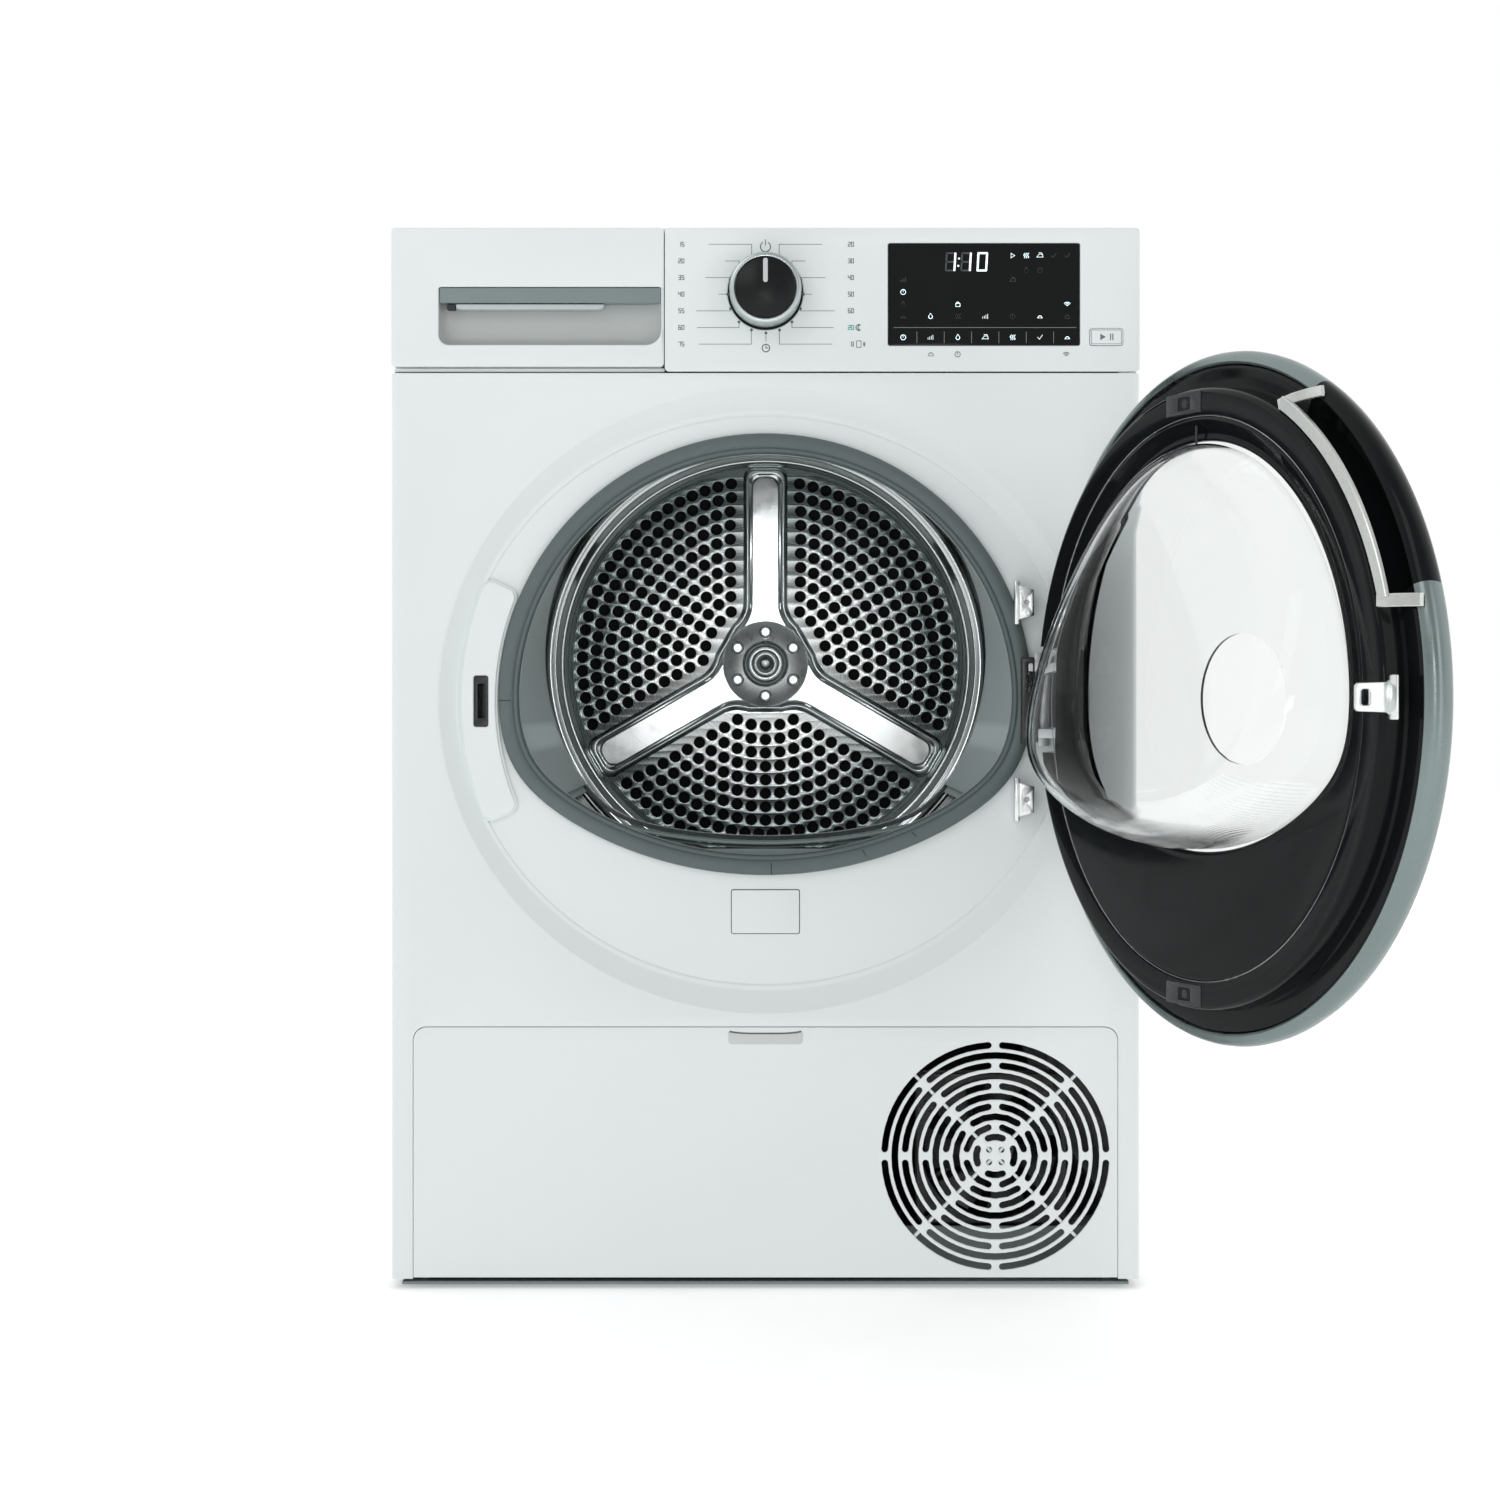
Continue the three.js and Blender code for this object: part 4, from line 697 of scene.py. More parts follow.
def add_latch_plate():
    radius, half = 0.2298, 0.0154
    span = radius * math.radians(24)
    outline = bent(bowed(rounded(-span, span, -half, half, 0.0095), 60), 0, OPENING_Z, radius, math.pi)
    inner = bent(bowed(rounded(-span + 0.0016, span - 0.0016, -half + 0.0016, half - 0.0016, 0.008), 60), 0,
                 OPENING_Z, radius, math.pi)
    slot = rounded(*CATCH, 0.002)
    base = plate([outline, slot], RECESS_Y - 0.0012, RECESS_Y, bevel=0.0004)
    face = plate([inner, slot], RECESS_Y - 0.0035, RECESS_Y - 0.0003, bevel=0.0012, rounds=3)
    add("latch_cover", merged(base, face), "cabinet", white_plastic, ["latch_plate"],
        sharp=50)
    lip = plate([rounded(*CATCH, 0.002), rounded(-0.2302, -0.2248, 0.4545, 0.4825, 0.001)],
                RECESS_Y - 0.0030, RECESS_Y + 0.002, bevel=0.0004)
    walls = plate([rounded(*CATCH, 0.001), rounded(-0.2300, -0.2244, 0.455, 0.483, 0.0006)],
                  RECESS_Y, RECESS_Y + 0.020, bevel=0.0002, rounds=1)
    end = plate([rounded(*CATCH, 0.001)], RECESS_Y + 0.020, RECESS_Y + 0.022, bevel=0.0002, rounds=1)
    add("catch_body", merged(lip, walls, end), "cabinet", black_plastic, ["door_catch"])


def bowed(points, pieces):
    """Adds points along an outline's long straight stretches, so that they can be bent."""
    out = []
    for (u0, v0), (u1, v1) in zip(points, points[1:] + points[:1]):
        steps = pieces if abs(u1 - u0) > 0.02 else 1
        out += [(u0 + (u1 - u0) * i / steps, v0 + (v1 - v0) * i / steps) for i in range(steps)]
    return out


def add_hinge_bracket():
    y = RECESS_Y - 0.0003
    x, pin_y = HINGE.x, HINGE.y
    arm = [(0.215, y - 0.001), (0.224, y - 0.001), (x + 0.0035, pin_y), (x, pin_y - 0.004),
           (x - 0.004, pin_y), (0.213, FRONT - 0.007), (0.205, FRONT - 0.007), (0.205, FRONT + 0.001),
           (0.215, FRONT + 0.001)]
    lugs = [lying(plate([arm], -high, -low, bevel=0.0008)) for low, high in ((0.438, 0.446), (0.492, 0.500))]
    foot = block((0.215, 0.225), (y - 0.0025, y), (0.431, 0.507))
    pin = lying(plate([circle(x, pin_y, 0.0028, 24)], -0.498, -0.440, bevel=0.0005))
    add("hinge_lugs", merged(*lugs, foot, pin), "cabinet", zinc, ["hinge_bracket"])
    cover = plate([rounded(0.2035, 0.214, 0.4345, 0.5035, 0.002),
                   rounded(0.2090, 0.2125, 0.4745, 0.4985, 0.0015)], FRONT - 0.008, FRONT - 0.0055,
                  bevel=0.0008)
    back = plate([rounded(0.2035, 0.214, 0.4345, 0.5035, 0.001)], FRONT - 0.0050, FRONT + 0.0015,
                 bevel=0.0003)
    add("hinge_cover", merged(cover, back), "cabinet", black_plastic)
    anchors = []
    for low, high in ((0.5335, 0.5605), (0.3765, 0.4035)):
        anchors.append(plate([[(0.2020, low), (0.2140, low + 0.003), (0.2140, high - 0.003), (0.2020, high)],
                              circle(0.2075, (low + high) / 2, 0.0018, 16)], FRONT - 0.005, FRONT + 0.006,
                             bevel=0.0008))
        anchors.append(block((0.1985, 0.2025), (FRONT - 0.002, FRONT + 0.008), (low - 0.004, high + 0.004)))
    add("hinge_anchors", merged(*anchors), "cabinet", bright_metal)
    heads = [screw(0.2075, z, FRONT - 0.0045, 0.0026, 0.0012) for z in (0.547, 0.390)]
    add("hinge_anchor_screws", merged(*heads), "cabinet", zinc)


def lid_point(x, y, lift):
    """A point of the filter's lid, which follows the throat's floor."""
    z, r = THROAT[1]
    return (x, y, z - math.sqrt((r + 0.004 - lift) ** 2 - x * x))


def add_lint_filter():
    front, rear, half = -0.2804, -0.2536, 0.148
    pitch, depth = 0.0115, rear - front
    steps = 8
    paths = []
    count = int(2 * half / pitch)
    for i in range(-3, count + 3):
        for lean in (-1, 1):
            start = -half + i * pitch
            path = []
            for k in range(steps + 1):
                x = start + lean * (k / steps - 0.5) * depth * 1.15
                slot = 0.0105 < abs(x - 0.0005) < 0.0335 and -0.2775 < front + depth * k / steps < -0.2675
                if abs(x) < half - 0.001 and not slot:
                    path.append(lid_point(x, front + depth * k / steps, -0.0004))
                elif len(path) > 1:
                    break
            if len(path) > 1:
                paths.append(path)
    lattice = bars(paths, 0.0010, sides=1)
    edges = []
    for y in (front + 0.0008, rear - 0.0008):
        edges.append([lid_point(-half + 2 * half * i / 60, y, -0.0002) for i in range(61)])
    borders = bars(edges, 0.0013, sides=2)
    frames = []
    for x0, x1 in ((-0.0315, -0.0115), (0.0125, 0.0325)):
        for y in (-0.2765, -0.2683):
            frames.append([lid_point(x0 + (x1 - x0) * i / 6, y, -0.0001) for i in range(7)])
        for x in (x0, x1):
            frames.append([lid_point(x, -0.2765, -0.0001), lid_point(x, -0.2683, -0.0001)])
    ends = [[lid_point(x, front, 0), lid_point(x, rear, 0)] for x in (-half + 0.001, half - 0.001)]
    slots = bars(frames + ends, 0.0011, sides=1)
    section = ((front, -0.0040), (rear, -0.0040), (rear, -0.0030), (front, -0.0030))
    web = []
    for x in [-half + 0.001 + (2 * half - 0.002) * i / 60 for i in range(61)]:
        web.append([Vector(lid_point(x, y, lift)) for y, lift in section])
    add("filter_lattice", merged(lattice, borders, slots), "filter", grey_plastic)
    add("filter_gauze", skin(web), "filter", gauze)
    low, high = 0.222, 0.350
    shell = []
    windows = [rounded(x - 0.060, x + 0.060, 0.240, 0.335, 0.004) for x in (-0.070, 0.070)]
    for y in (front, rear - 0.0018):
        shell.append(plate([rounded(-0.146, 0.146, low, high, 0.003), *windows], y, y + 0.0018, bevel=0.0004))
    ring = [(-0.146, high), (-0.146, low), (0.146, low), (0.146, high), (0.1435, high),
            (0.1435, low + 0.0025), (-0.1435, low + 0.0025), (-0.1435, high)]
    shell.append(plate([ring], front + 0.001, rear - 0.001, bevel=0.0003, rounds=1))
    cross = []
    for x in (-0.070, 0.070):
        for y in (front + 0.0009, rear - 0.0009):
            cross += [[(x + d, y, 0.239), (x + d, y, 0.336)] for d in (-0.030, 0, 0.030)]
            cross += [[(x - 0.061, y, z), (x + 0.061, y, z)] for z in (0.264, 0.288, 0.312)]
    add("filter_frame", merged(*shell, bars(cross, 0.0008, sides=1)), "filter", grey_plastic,
        ["lint_filter"])


# ---------------------------------------------------------------- drum
STAR_ARMS = (90, 210, 330)  # directions of the star's arms, in degrees


def arm_distance(x, z):
    """Distance of a point about the hub from the middle line of the nearest arm on its side of the hub."""
    distances = []
    for degrees in STAR_ARMS:
        a = math.radians(degrees)
        along, across = x * math.cos(a) + z * math.sin(a), abs(z * math.cos(a) - x * math.sin(a))
        if along > 0:
            distances.append(across)
    return min(distances)


def star_outline(width, hub, length, fillet, corner=0.010):
    """Outline of a three-armed star whose arms run into a round hub."""
    points = []
    for degrees in STAR_ARMS:
        turn = math.radians(degrees - 90)
        side = []
        centre_x = width + fillet
        centre_z = math.sqrt((hub + fillet) ** 2 - centre_x ** 2)
        stop = math.atan2(centre_z, centre_x)
        for i in range(9):
            a = math.pi + stop + (0 - stop) * i / 8
            side.append((centre_x + fillet * math.cos(a), centre_z + fillet * math.sin(a)))
        side.append((width, length - corner))
        for i in range(1, 6):
            a = math.pi / 2 * i / 5
            side.append((width - corner + corner * math.cos(a), length - corner + corner * math.sin(a)))
        half = side + [(-u, v) for u, v in reversed(side)]
        points += [(u * math.cos(turn) - v * math.sin(turn), u * math.sin(turn) + v * math.cos(turn)) for u,
                   v in half]
    return [(u, DRUM_Z + v) for u, v in points]


def add_drum_rear_wall():
    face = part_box("drum_rear_wall")[0].y + 0.004
    sheet = 0.0012
    holes = []
    hole, pitch = 0.0054, 0.0131
    for ring in range(11):
        radius = 0.1785 - pitch * ring
        if radius < 0.045:
            break
        count = round(2 * math.pi * radius / 0.0134)
        count -= count % 3
        for i in range(count):
            a = 2 * math.pi * (i + 0.5) / count + math.pi / 2
            x, z = radius * math.cos(a), radius * math.sin(a)
            across = arm_distance(x, z)
            room = across - 0.0215 - max(0, 0.052 - radius)
            blend_room = math.hypot(x, z) - 0.050 - 0.012 * max(0, 1 - across / 0.03)
            if room > 0.0045 and blend_room > 0.004:
                size = hole if room > 0.0085 else 0.0038
                holes.append(circle(x, DRUM_Z + z, size, 16))
    perforated = plate([circle(0, DRUM_Z, 0.1925, 128), *holes], face, face + sheet, bevel=0.0005, rounds=2)
    add("drum_rear_sheet", perforated, "drum", drum_steel_painted_shade, ["drum_rear_wall"], sharp=40)
    profile = [(0.190, face + sheet), (0.1925, face), (0.194, face - 0.0012), (0.1955, face - 0.0034),
               (0.1975, face - 0.004), (0.2005, face - 0.0038), (0.2025, face - 0.0020),
               (0.205, face - 0.0016), (0.2075, face - 0.0034), (0.2105, face - 0.004),
               (0.213, face - 0.0026), (0.2150, face + 0.002), (0.2172, face + 0.006), (0.277, face + 0.006),
               (0.277, face + 0.0072), (0.216, face + 0.0072), (0.190, face + sheet)]
    add("drum_rear_rim", turned(profile, 0, DRUM_Z, 180), "drum", rim_steel, sharp=60)
    shade = turned([(0, face + 0.009), (0.19, face + 0.009), (0.19, face + 0.0095), (0, face + 0.0095)], 0,
                   DRUM_Z, 64)
    add("drum_rear_shade", shade, "drum", behind_holes)


def add_drum_star():
    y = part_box("drum_rear_wall")[0].y + 0.004
    levels = ((0.0215, 0.050, 0.191, 0.030, y - 0.0001), (0.0205, 0.049, 0.190, 0.030, y - 0.0016),
              (0.0188, 0.047, 0.188, 0.031, y - 0.0038), (0.0176, 0.046, 0.187, 0.032, y - 0.0043),
              (0.0160, 0.045, 0.185, 0.033, y - 0.0041), (0.0148, 0.0435, 0.184, 0.034, y - 0.0028),
              (0.0136, 0.042, 0.183, 0.035, y - 0.0031), (0.0120, 0.040, 0.181, 0.036, y - 0.0012))
    loops = []
    for width, hub, length, fillet, depth in levels:
        loops.append([Vector((u, depth, v)) for u, v in star_outline(width, hub, length, fillet)])
    back = [[Vector((p.x, y + 0.0004, p.z)) for p in loops[-1]],
            [Vector((p.x, y + 0.0004, p.z)) for p in loops[0]]]
    rim_of_star = skin(loops + back, ring=True)
    bed = plate([star_outline(0.0121, 0.0401, 0.1811, 0.036)], y - 0.0013, y - 0.0005, bevel=0, rounds=1)
    add("drum_star_ridges", rim_of_star, "drum", star_steel, ["drum_star"], sharp=60)
    add("drum_star_bed", bed, "drum", arm_steel_painted_highlight, sharp=60)


def add_drum_hub():
    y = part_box("drum_rear_wall")[0].y + 0.004
    flange = turned([(0, y - 0.0046), (0.0405, y - 0.0046), (0.0415, y - 0.0040), (0.0418, y - 0.001),
                     (0, y - 0.001)], 0, DRUM_Z, 96)
    add("drum_hub_flange", flange, "drum", hub_steel_painted_highlight)
    boss = turned([(0.0225, y - 0.0046), (0.0222, y - 0.0070), (0.0205, y - 0.0086), (0.0185, y - 0.0080),
                   (0.0165, y - 0.0056), (0.0140, y - 0.0052), (0.0118, y - 0.0060), (0.0108, y - 0.0125),
                   (0.0098, y - 0.0137), (0.0080, y - 0.0137), (0.0070, y - 0.0128), (0, y - 0.0126)], 0,
                  DRUM_Z, 72)
    add("drum_hub_boss", boss, "drum", rim_steel, sharp=50)
    rivets = []
    for i in range(6):
        a = math.radians(30 + 60 * i)
        x, z = 0.0312 * math.cos(a), DRUM_Z + 0.0312 * math.sin(a)
        rivets.append(turned([(0.0064, y - 0.0046), (0.0062, y - 0.0066), (0.0052, y - 0.0074),
                              (0.0042, y - 0.0066), (0.0036, y - 0.0056), (0, y - 0.0056)], x, z, 28))
    add("drum_hub_rivets", merged(*rivets), "drum", rim_steel, sharp=50)


def add_drum_shell():
    low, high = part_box("drum_shell")
    radius, front, rear = high.x, low.y + 0.011, high.y
    profile = [(0.186, low.y), (0.1872, low.y), (0.1876, front - 0.003), (0.190, front),
               (radius - 0.006, front), (radius - 0.0015, front + 0.0015), (radius, front + 0.006)]
    for y in (front + 0.05, rear - 0.05):
        profile += [(radius, y - 0.006), (radius - 0.0025, y - 0.003), (radius - 0.0025, y + 0.003),
                    (radius, y + 0.006)]
    profile += [(radius, rear)]
    inside = [(r - 0.0012, y + (0.0012 if r < radius - 0.003 and y < front + 0.01 else 0)) for r,
              y in reversed(profile)]
    add("drum_drum", turned(profile + inside + [profile[0]], 0, DRUM_Z, 144), "drum", shell_steel,
        ["drum_shell"], sharp=40)
    base = radius - 0.0048
    for i, degrees in enumerate((0, 120, 240)):
        section = []
        for k in range(41):
            t = k / 20 - 1
            rise = 0.045 * (0.5 + 0.5 * math.cos(math.pi * min(1, abs(t) ** 1.3)))
            section.append((0.030 * t, -base + rise))
        section += [(0.030, -base - 0.0002), (-0.030, -base - 0.0002)]
        vane = plate([section], -0.213, 0.170, bevel=0.004, rounds=4)
        rib = [(u * 1.01, v + 0.0008) for u, v in section[6:35]] + [(0.012, -base), (-0.012, -base)]
        ribs = [plate([rib], y, y + 0.003, bevel=0.0008) for y in (-0.13, -0.07, -0.01, 0.05, 0.11)]
        turn = Matrix.Rotation(-math.radians(degrees), 4, "Y")
        whole = moved(merged(vane, *ribs), turn, Matrix.Translation((0, 0, DRUM_Z)))
        add(f"drum_vane_{i + 1}", whole, "drum", pale_plastic, [f"drum_paddle_{i + 1}"],
            sharp=40)


# ---------------------------------------------------------------- control panel
def add_fascia():
    front = FRONT
    window = rounded(0.0977, 0.2507, 0.752, 0.8336, 0.0015)
    button = rounded(0.2585, 0.285, 0.7519, 0.7655, 0.002)
    knob_hole = circle(0, KNOB_Z, 0.0301, 72)
    left = DRAWER_RIGHT + 0.0006
    outline = rounded(left, SIDE, FASCIA_LOW, HEIGHT, 0.0035)
    board = plate([outline, window, button, knob_hole], front, front + 0.003, bevel=0.0012, rounds=4)
    rail = block((-SIDE + 0.002, left), (FRONT + 0.004, FRONT + 0.020), (FASCIA_LOW, DRAWER_LOW - 0.0006))
    shelf = block((-SIDE, SIDE), (FRONT + 0.0031, FOLD_BACK - 0.0003), (HEIGHT - 0.004, HEIGHT), bevel=0.0012)
    back = plate([rounded(left, SIDE - 0.002, FASCIA_LOW + 0.002, HEIGHT - 0.006, 0.002), window, button,
                  knob_hole], front + 0.0032, front + 0.005, bevel=0.0002, rounds=1)
    add("fascia", merged(board, rail, shelf, back), "cabinet", white_plastic,
        ["control_panel"])
    well = turned([(0.0301, front + 0.003), (0.0301, front + 0.007), (0, front + 0.007), (0, front + 0.0075),
                   (0.031, front + 0.0075), (0.031, front + 0.003), (0.0301, front + 0.003)], 0, KNOB_Z, 72)
    add("knob_well", well, "cabinet", dark_gap)


def add_drawer():
    left, right, low, high = -SIDE, DRAWER_RIGHT, DRAWER_LOW, HEIGHT
    x0, x1, z0, z1 = -0.2605, right - 0.0024, 0.7527, 0.7986
    mouth = [(x0 + 0.008 + 0.008 * math.cos(a), z0 + 0.008 + 0.008 * math.sin(a))
             for a in (math.pi * (1 + i / 12) for i in range(7))]
    mouth += [(x1 - 0.012 + 0.012 * math.sin(a), z0 + 0.012 - 0.012 * math.cos(a))
              for a in (math.pi * i / 12 for i in range(7))]
    mouth += [point for point in rounded(x0, x1, z0, z1, 0.0015) if point[1] > z1 - 0.002]
    outline = rounded(left, right, low, high, 0.0035)
    board = plate([outline, mouth], FRONT, FRONT + 0.003, bevel=0.0013, rounds=4)
    inner = rounded(left + 0.002, right - 0.002, low + 0.002, high - 0.002, 0.002)
    sides = plate([outline, inner], FRONT + 0.0028, FRONT + 0.020, bevel=0.0004)
    add("drawer_face", merged(board, sides), "drawer", white_plastic, ["drawer_front"])
    depth = 0.0165
    dish = []
    for k in range(10):
        a = math.pi / 2 * k / 9
        inset = 1 - math.cos(a)
        y = FRONT + 0.0006 + depth * math.sin(a)
        row = []
        for u, v in mouth:
            left_pull = 0.006 * inset if u < x0 + 0.06 else 0
            right_pull = 0.028 * inset * max(0, (u - x1 + 0.05) / 0.05)
            rise = 0.008 * inset * (z1 - v) / (z1 - z0)
            row.append(Vector((u + left_pull - right_pull, y, v + rise)))
        dish.append(row)
    back = [[p + Vector((0, 0.0012, 0)) for p in points] for points in reversed(dish)]
    floor = plate([flat(dish[-1])], FRONT + 0.0006 + depth, FRONT + 0.0018 + depth, bevel=0, rounds=1)
    add("drawer_pocket", merged(skin(dish + back, ring=True), floor), "drawer", pocket_white_painted_shade,
        sharp=60)
    strip = plate([rounded(x0 + 0.0004, x1 - 0.0002, 0.7862, z1 - 0.0001, 0.0008)], FRONT + 0.0012,
                  FRONT + 0.0135, bevel=0.0006, rounds=3)
    add("drawer_trim", strip, "drawer", trim_grey, ["drawer_grip"])
    lip = plate([[(-0.247, 0.7855), (-0.247, 0.7822), (-0.243, 0.7812), (-0.133, 0.7812), (-0.129, 0.7830),
                  (-0.129, 0.7855)]], FRONT + 0.0030, FRONT + 0.012, bevel=0.0009, rounds=3)
    add("drawer_lip", lip, "drawer", trim_pale)
    mark = plate([rounded(-0.2545, -0.2478, 0.7812, 0.7853, 0.001)], FRONT + 0.0035, FRONT + 0.0125,
                 bevel=0.0004)
    add("drawer_lip_mark", mark, "drawer", dark_gap)


def add_knob():
    front, r = FRONT - 0.0255, 0.0285
    body = turned([(0.0242, front + 0.0010), (0.0248, front + 0.0002), (0.0262, front),
                   (0.0276, front + 0.0006), (r - 0.0002, front + 0.0022), (r, front + 0.0045),
                   (r, FRONT - 0.002), (r - 0.0006, FRONT - 0.0006), (r - 0.001, FRONT + 0.004),
                   (0.010, FRONT + 0.004), (0.010, front + 0.004), (0.0242, front + 0.003),
                   (0.0242, front + 0.0010)], 0, KNOB_Z, 120)
    add("knob_ring", body, "knob", knob_silver, ["programme_knob"], sharp=40)
    cap = turned([(0.0240, front + 0.0025), (0.0240, front + 0.0014), (0.0232, front + 0.0008),
                  (0, front + 0.0006), (0, front + 0.003), (0.0240, front + 0.0030)], 0, KNOB_Z, 96)
    add("knob_disc", cap, "knob", knob_black, sharp=40)
    pointer = plate([rounded(-0.0019, 0.0019, KNOB_Z + 0.004, KNOB_Z + 0.0232, 0.0018)], front - 0.0003,
                    front + 0.0012, bevel=0.0004)
    add("knob_pointer", pointer, "knob", knob_mark)


def strokes(paths, width, front):
    """Flat strips along each path, for printed lines."""
    pieces = []
    for path in paths:
        for (u0, v0), (u1, v1) in zip(path, path[1:]):
            length = math.hypot(u1 - u0, v1 - v0) or 1
            du, dv = (u1 - u0) / length * width / 2, (v1 - v0) / length * width / 2
            pieces.append(((u0 - du + dv, v0 - dv - du), (u1 + du + dv, v1 + dv - du),
                           (u1 + du - dv, v1 + dv + du), (u0 - du - dv, v0 - dv + du)))
    shape = bmesh.new()
    for corners in pieces:
        shape.faces.new([shape.verts.new((u, front, v)) for u, v in corners])
    return shape


def disc(x, z, radius, front, count=20):
    shape = bmesh.new()
    shape.faces.new([shape.verts.new((u, front, v)) for u, v in circle(x, z, radius, count)])
    return shape


def arc(x, z, radius, start, end, steps=12):
    return [(x + radius * math.cos(math.radians(start + (end - start) * i / steps)),
             z + radius * math.sin(math.radians(start + (end - start) * i / steps)))
            for i in range(steps + 1)]


DIGIT_BARS = {
    "a": ((0, 2), (1, 2)), "b": ((1, 2), (1, 1)), "c": ((1, 1), (1, 0)), "d": ((0, 0), (1, 0)),
    "e": ((0, 1), (0, 0)), "f": ((0, 2), (0, 1)), "g": ((0, 1), (1, 1)),
}
DIGITS = ("abcdef", "bc", "abdeg", "abcdg", "bcfg", "acdfg", "acdefg", "abc", "abcdefg", "abcdfg")


def digit(value, x, z, height, slant=0.0):
    """Lines of a seven-bar figure whose lower left corner is at (x, z)."""
    width = height * 0.5
    lines = []
    for name in DIGITS[value]:
        ends = []
        (u0, v0), (u1, v1) = DIGIT_BARS[name]
        gap = 0.06
        for (u, v), (w, q) in (((u0, v0), (u1, v1)), ((u1, v1), (u0, v0))):
            u, v = u + (w - u) * gap, v + (q - v) * gap
            ends.append((x + u * width + slant * v * height / 2, z + v * height / 2))
        lines.append(ends)
    return lines


def number(text, x, z, height, right=False):
    """Lines of a small printed number, from x rightwards, or leftwards if right."""
    step = height * 0.78
    start = x - step * len(text) + height * 0.28 if right else x
    lines = []
    for i, letter in enumerate(text):
        lines += digit(int(letter), start + i * step, z, height)
    return lines


LEGEND_STEP = 0.01326  # between the rows of marks round the knob
LEGEND_TOP = 0.8326
LEGEND_FIGURE = 0.0033  # height of the printed numbers


def legend_row(i):
    return LEGEND_TOP - i * LEGEND_STEP


def add_legend():
    y = FRONT - 0.00015
    leads = (
        ((-0.0449, 0), (-0.0110, 0), (-0.0110, -0.0099)), ((-0.0318, 1), (-0.0211, 1), (-0.0211, -0.0036)),
        ((-0.0478, 2), (-0.0281, 2), (-0.0281, -0.0018)), ((-0.0370, 3), (-0.0302, 3)),
        ((-0.0548, 4), (-0.0279, 4), (-0.0279, 0.0018)), ((-0.0542, 5), (-0.0211, 5), (-0.0211, 0.0044)),
        ((-0.0530, 6), (-0.0112, 6), (-0.0112, 0.0113)),
    )
    paths, dots = [], []
    for side in (-1, 1):
        for lead in leads:
            path = []  # the first two heights are rows, the third is a rise from the second
            for k, (u, row) in enumerate(lead):
                height = legend_row(row) if k < 2 else path[-1][1] + row
                path.append((-u * side, height))
            paths.append(path)
            dots.append(disc(path[-1][0], path[-1][1], 0.00115, y))
    paths.append([(0.0004, 0.7617), (0.0004, 0.7555)])
    dots.append(disc(0.0004, 0.7619, 0.00115, y))
    print_lines = strokes(paths, 0.00042, y)
    marks = []
    for row in range(7):
        z = legend_row(row) - 0.0016
        marks += number(str(row + 1) + ("0" if row % 2 else "5"), -0.0692, z, LEGEND_FIGURE)
        if row < 5:
            marks += number(str(20 + 10 * row), 0.0702, z, LEGEND_FIGURE, right=True)
    figures = strokes(marks, 0.00055, y)
    power = [arc(0, 0.8307, 0.0040, 125, 415, 24), [(0, 0.8322), (0, 0.8362)]]
    clock = [arc(0.0004, 0.7499, 0.0030, 0, 360, 24), [(0.0004, 0.7517), (0.0004, 0.7499), (0.0020, 0.7499)]]
    icons = strokes(power + clock, 0.00065, y)
    add("legend_lines", merged(print_lines, figures, icons, *dots), "cabinet", print_grey)
    moon = [arc(0.0745, legend_row(5), 0.0023, 60, 300, 16), arc(0.0757, legend_row(5), 0.0020, 95, 265, 12)]
    tag = strokes(number("20", 0.0702, legend_row(5) - 0.0016, LEGEND_FIGURE, right=True) + moon, 0.0006, y)
    add("legend_quiet", tag, "cabinet", print_teal)
    phone = [rounded(0.0727, 0.0762, legend_row(6) - 0.0026, legend_row(6) + 0.0026, 0.0006, 2)]
    phone = [points + points[:1] for points in phone]
    wave = [arc(0.0775, legend_row(6), 0.0010, -60, 60, 6), arc(0.0775, legend_row(6), 0.0019, -60, 60, 6)]
    eight = number("8", 0.0702, legend_row(6) - 0.0016, LEGEND_FIGURE, right=True)
    add("legend_phone", strokes(phone + wave + eight, 0.0005, y), "cabinet", print_grey)
    z = 0.7449
    small = [arc(0.1319, z - 0.001, 0.0022, 20, 160, 8), [(0.1297, z - 0.0012), (0.1341, z - 0.0012)],
             arc(0.1532, z, 0.0021, 0, 360, 16), [(0.1532, z), (0.1532, z + 0.0013)]]
    for k in range(3):
        small.append(arc(0.2397, z - 0.0018, 0.0010 + 0.0012 * k, 45, 135, 8))
    add("legend_small_icons", strokes(small, 0.0005, y), "cabinet", print_grey)


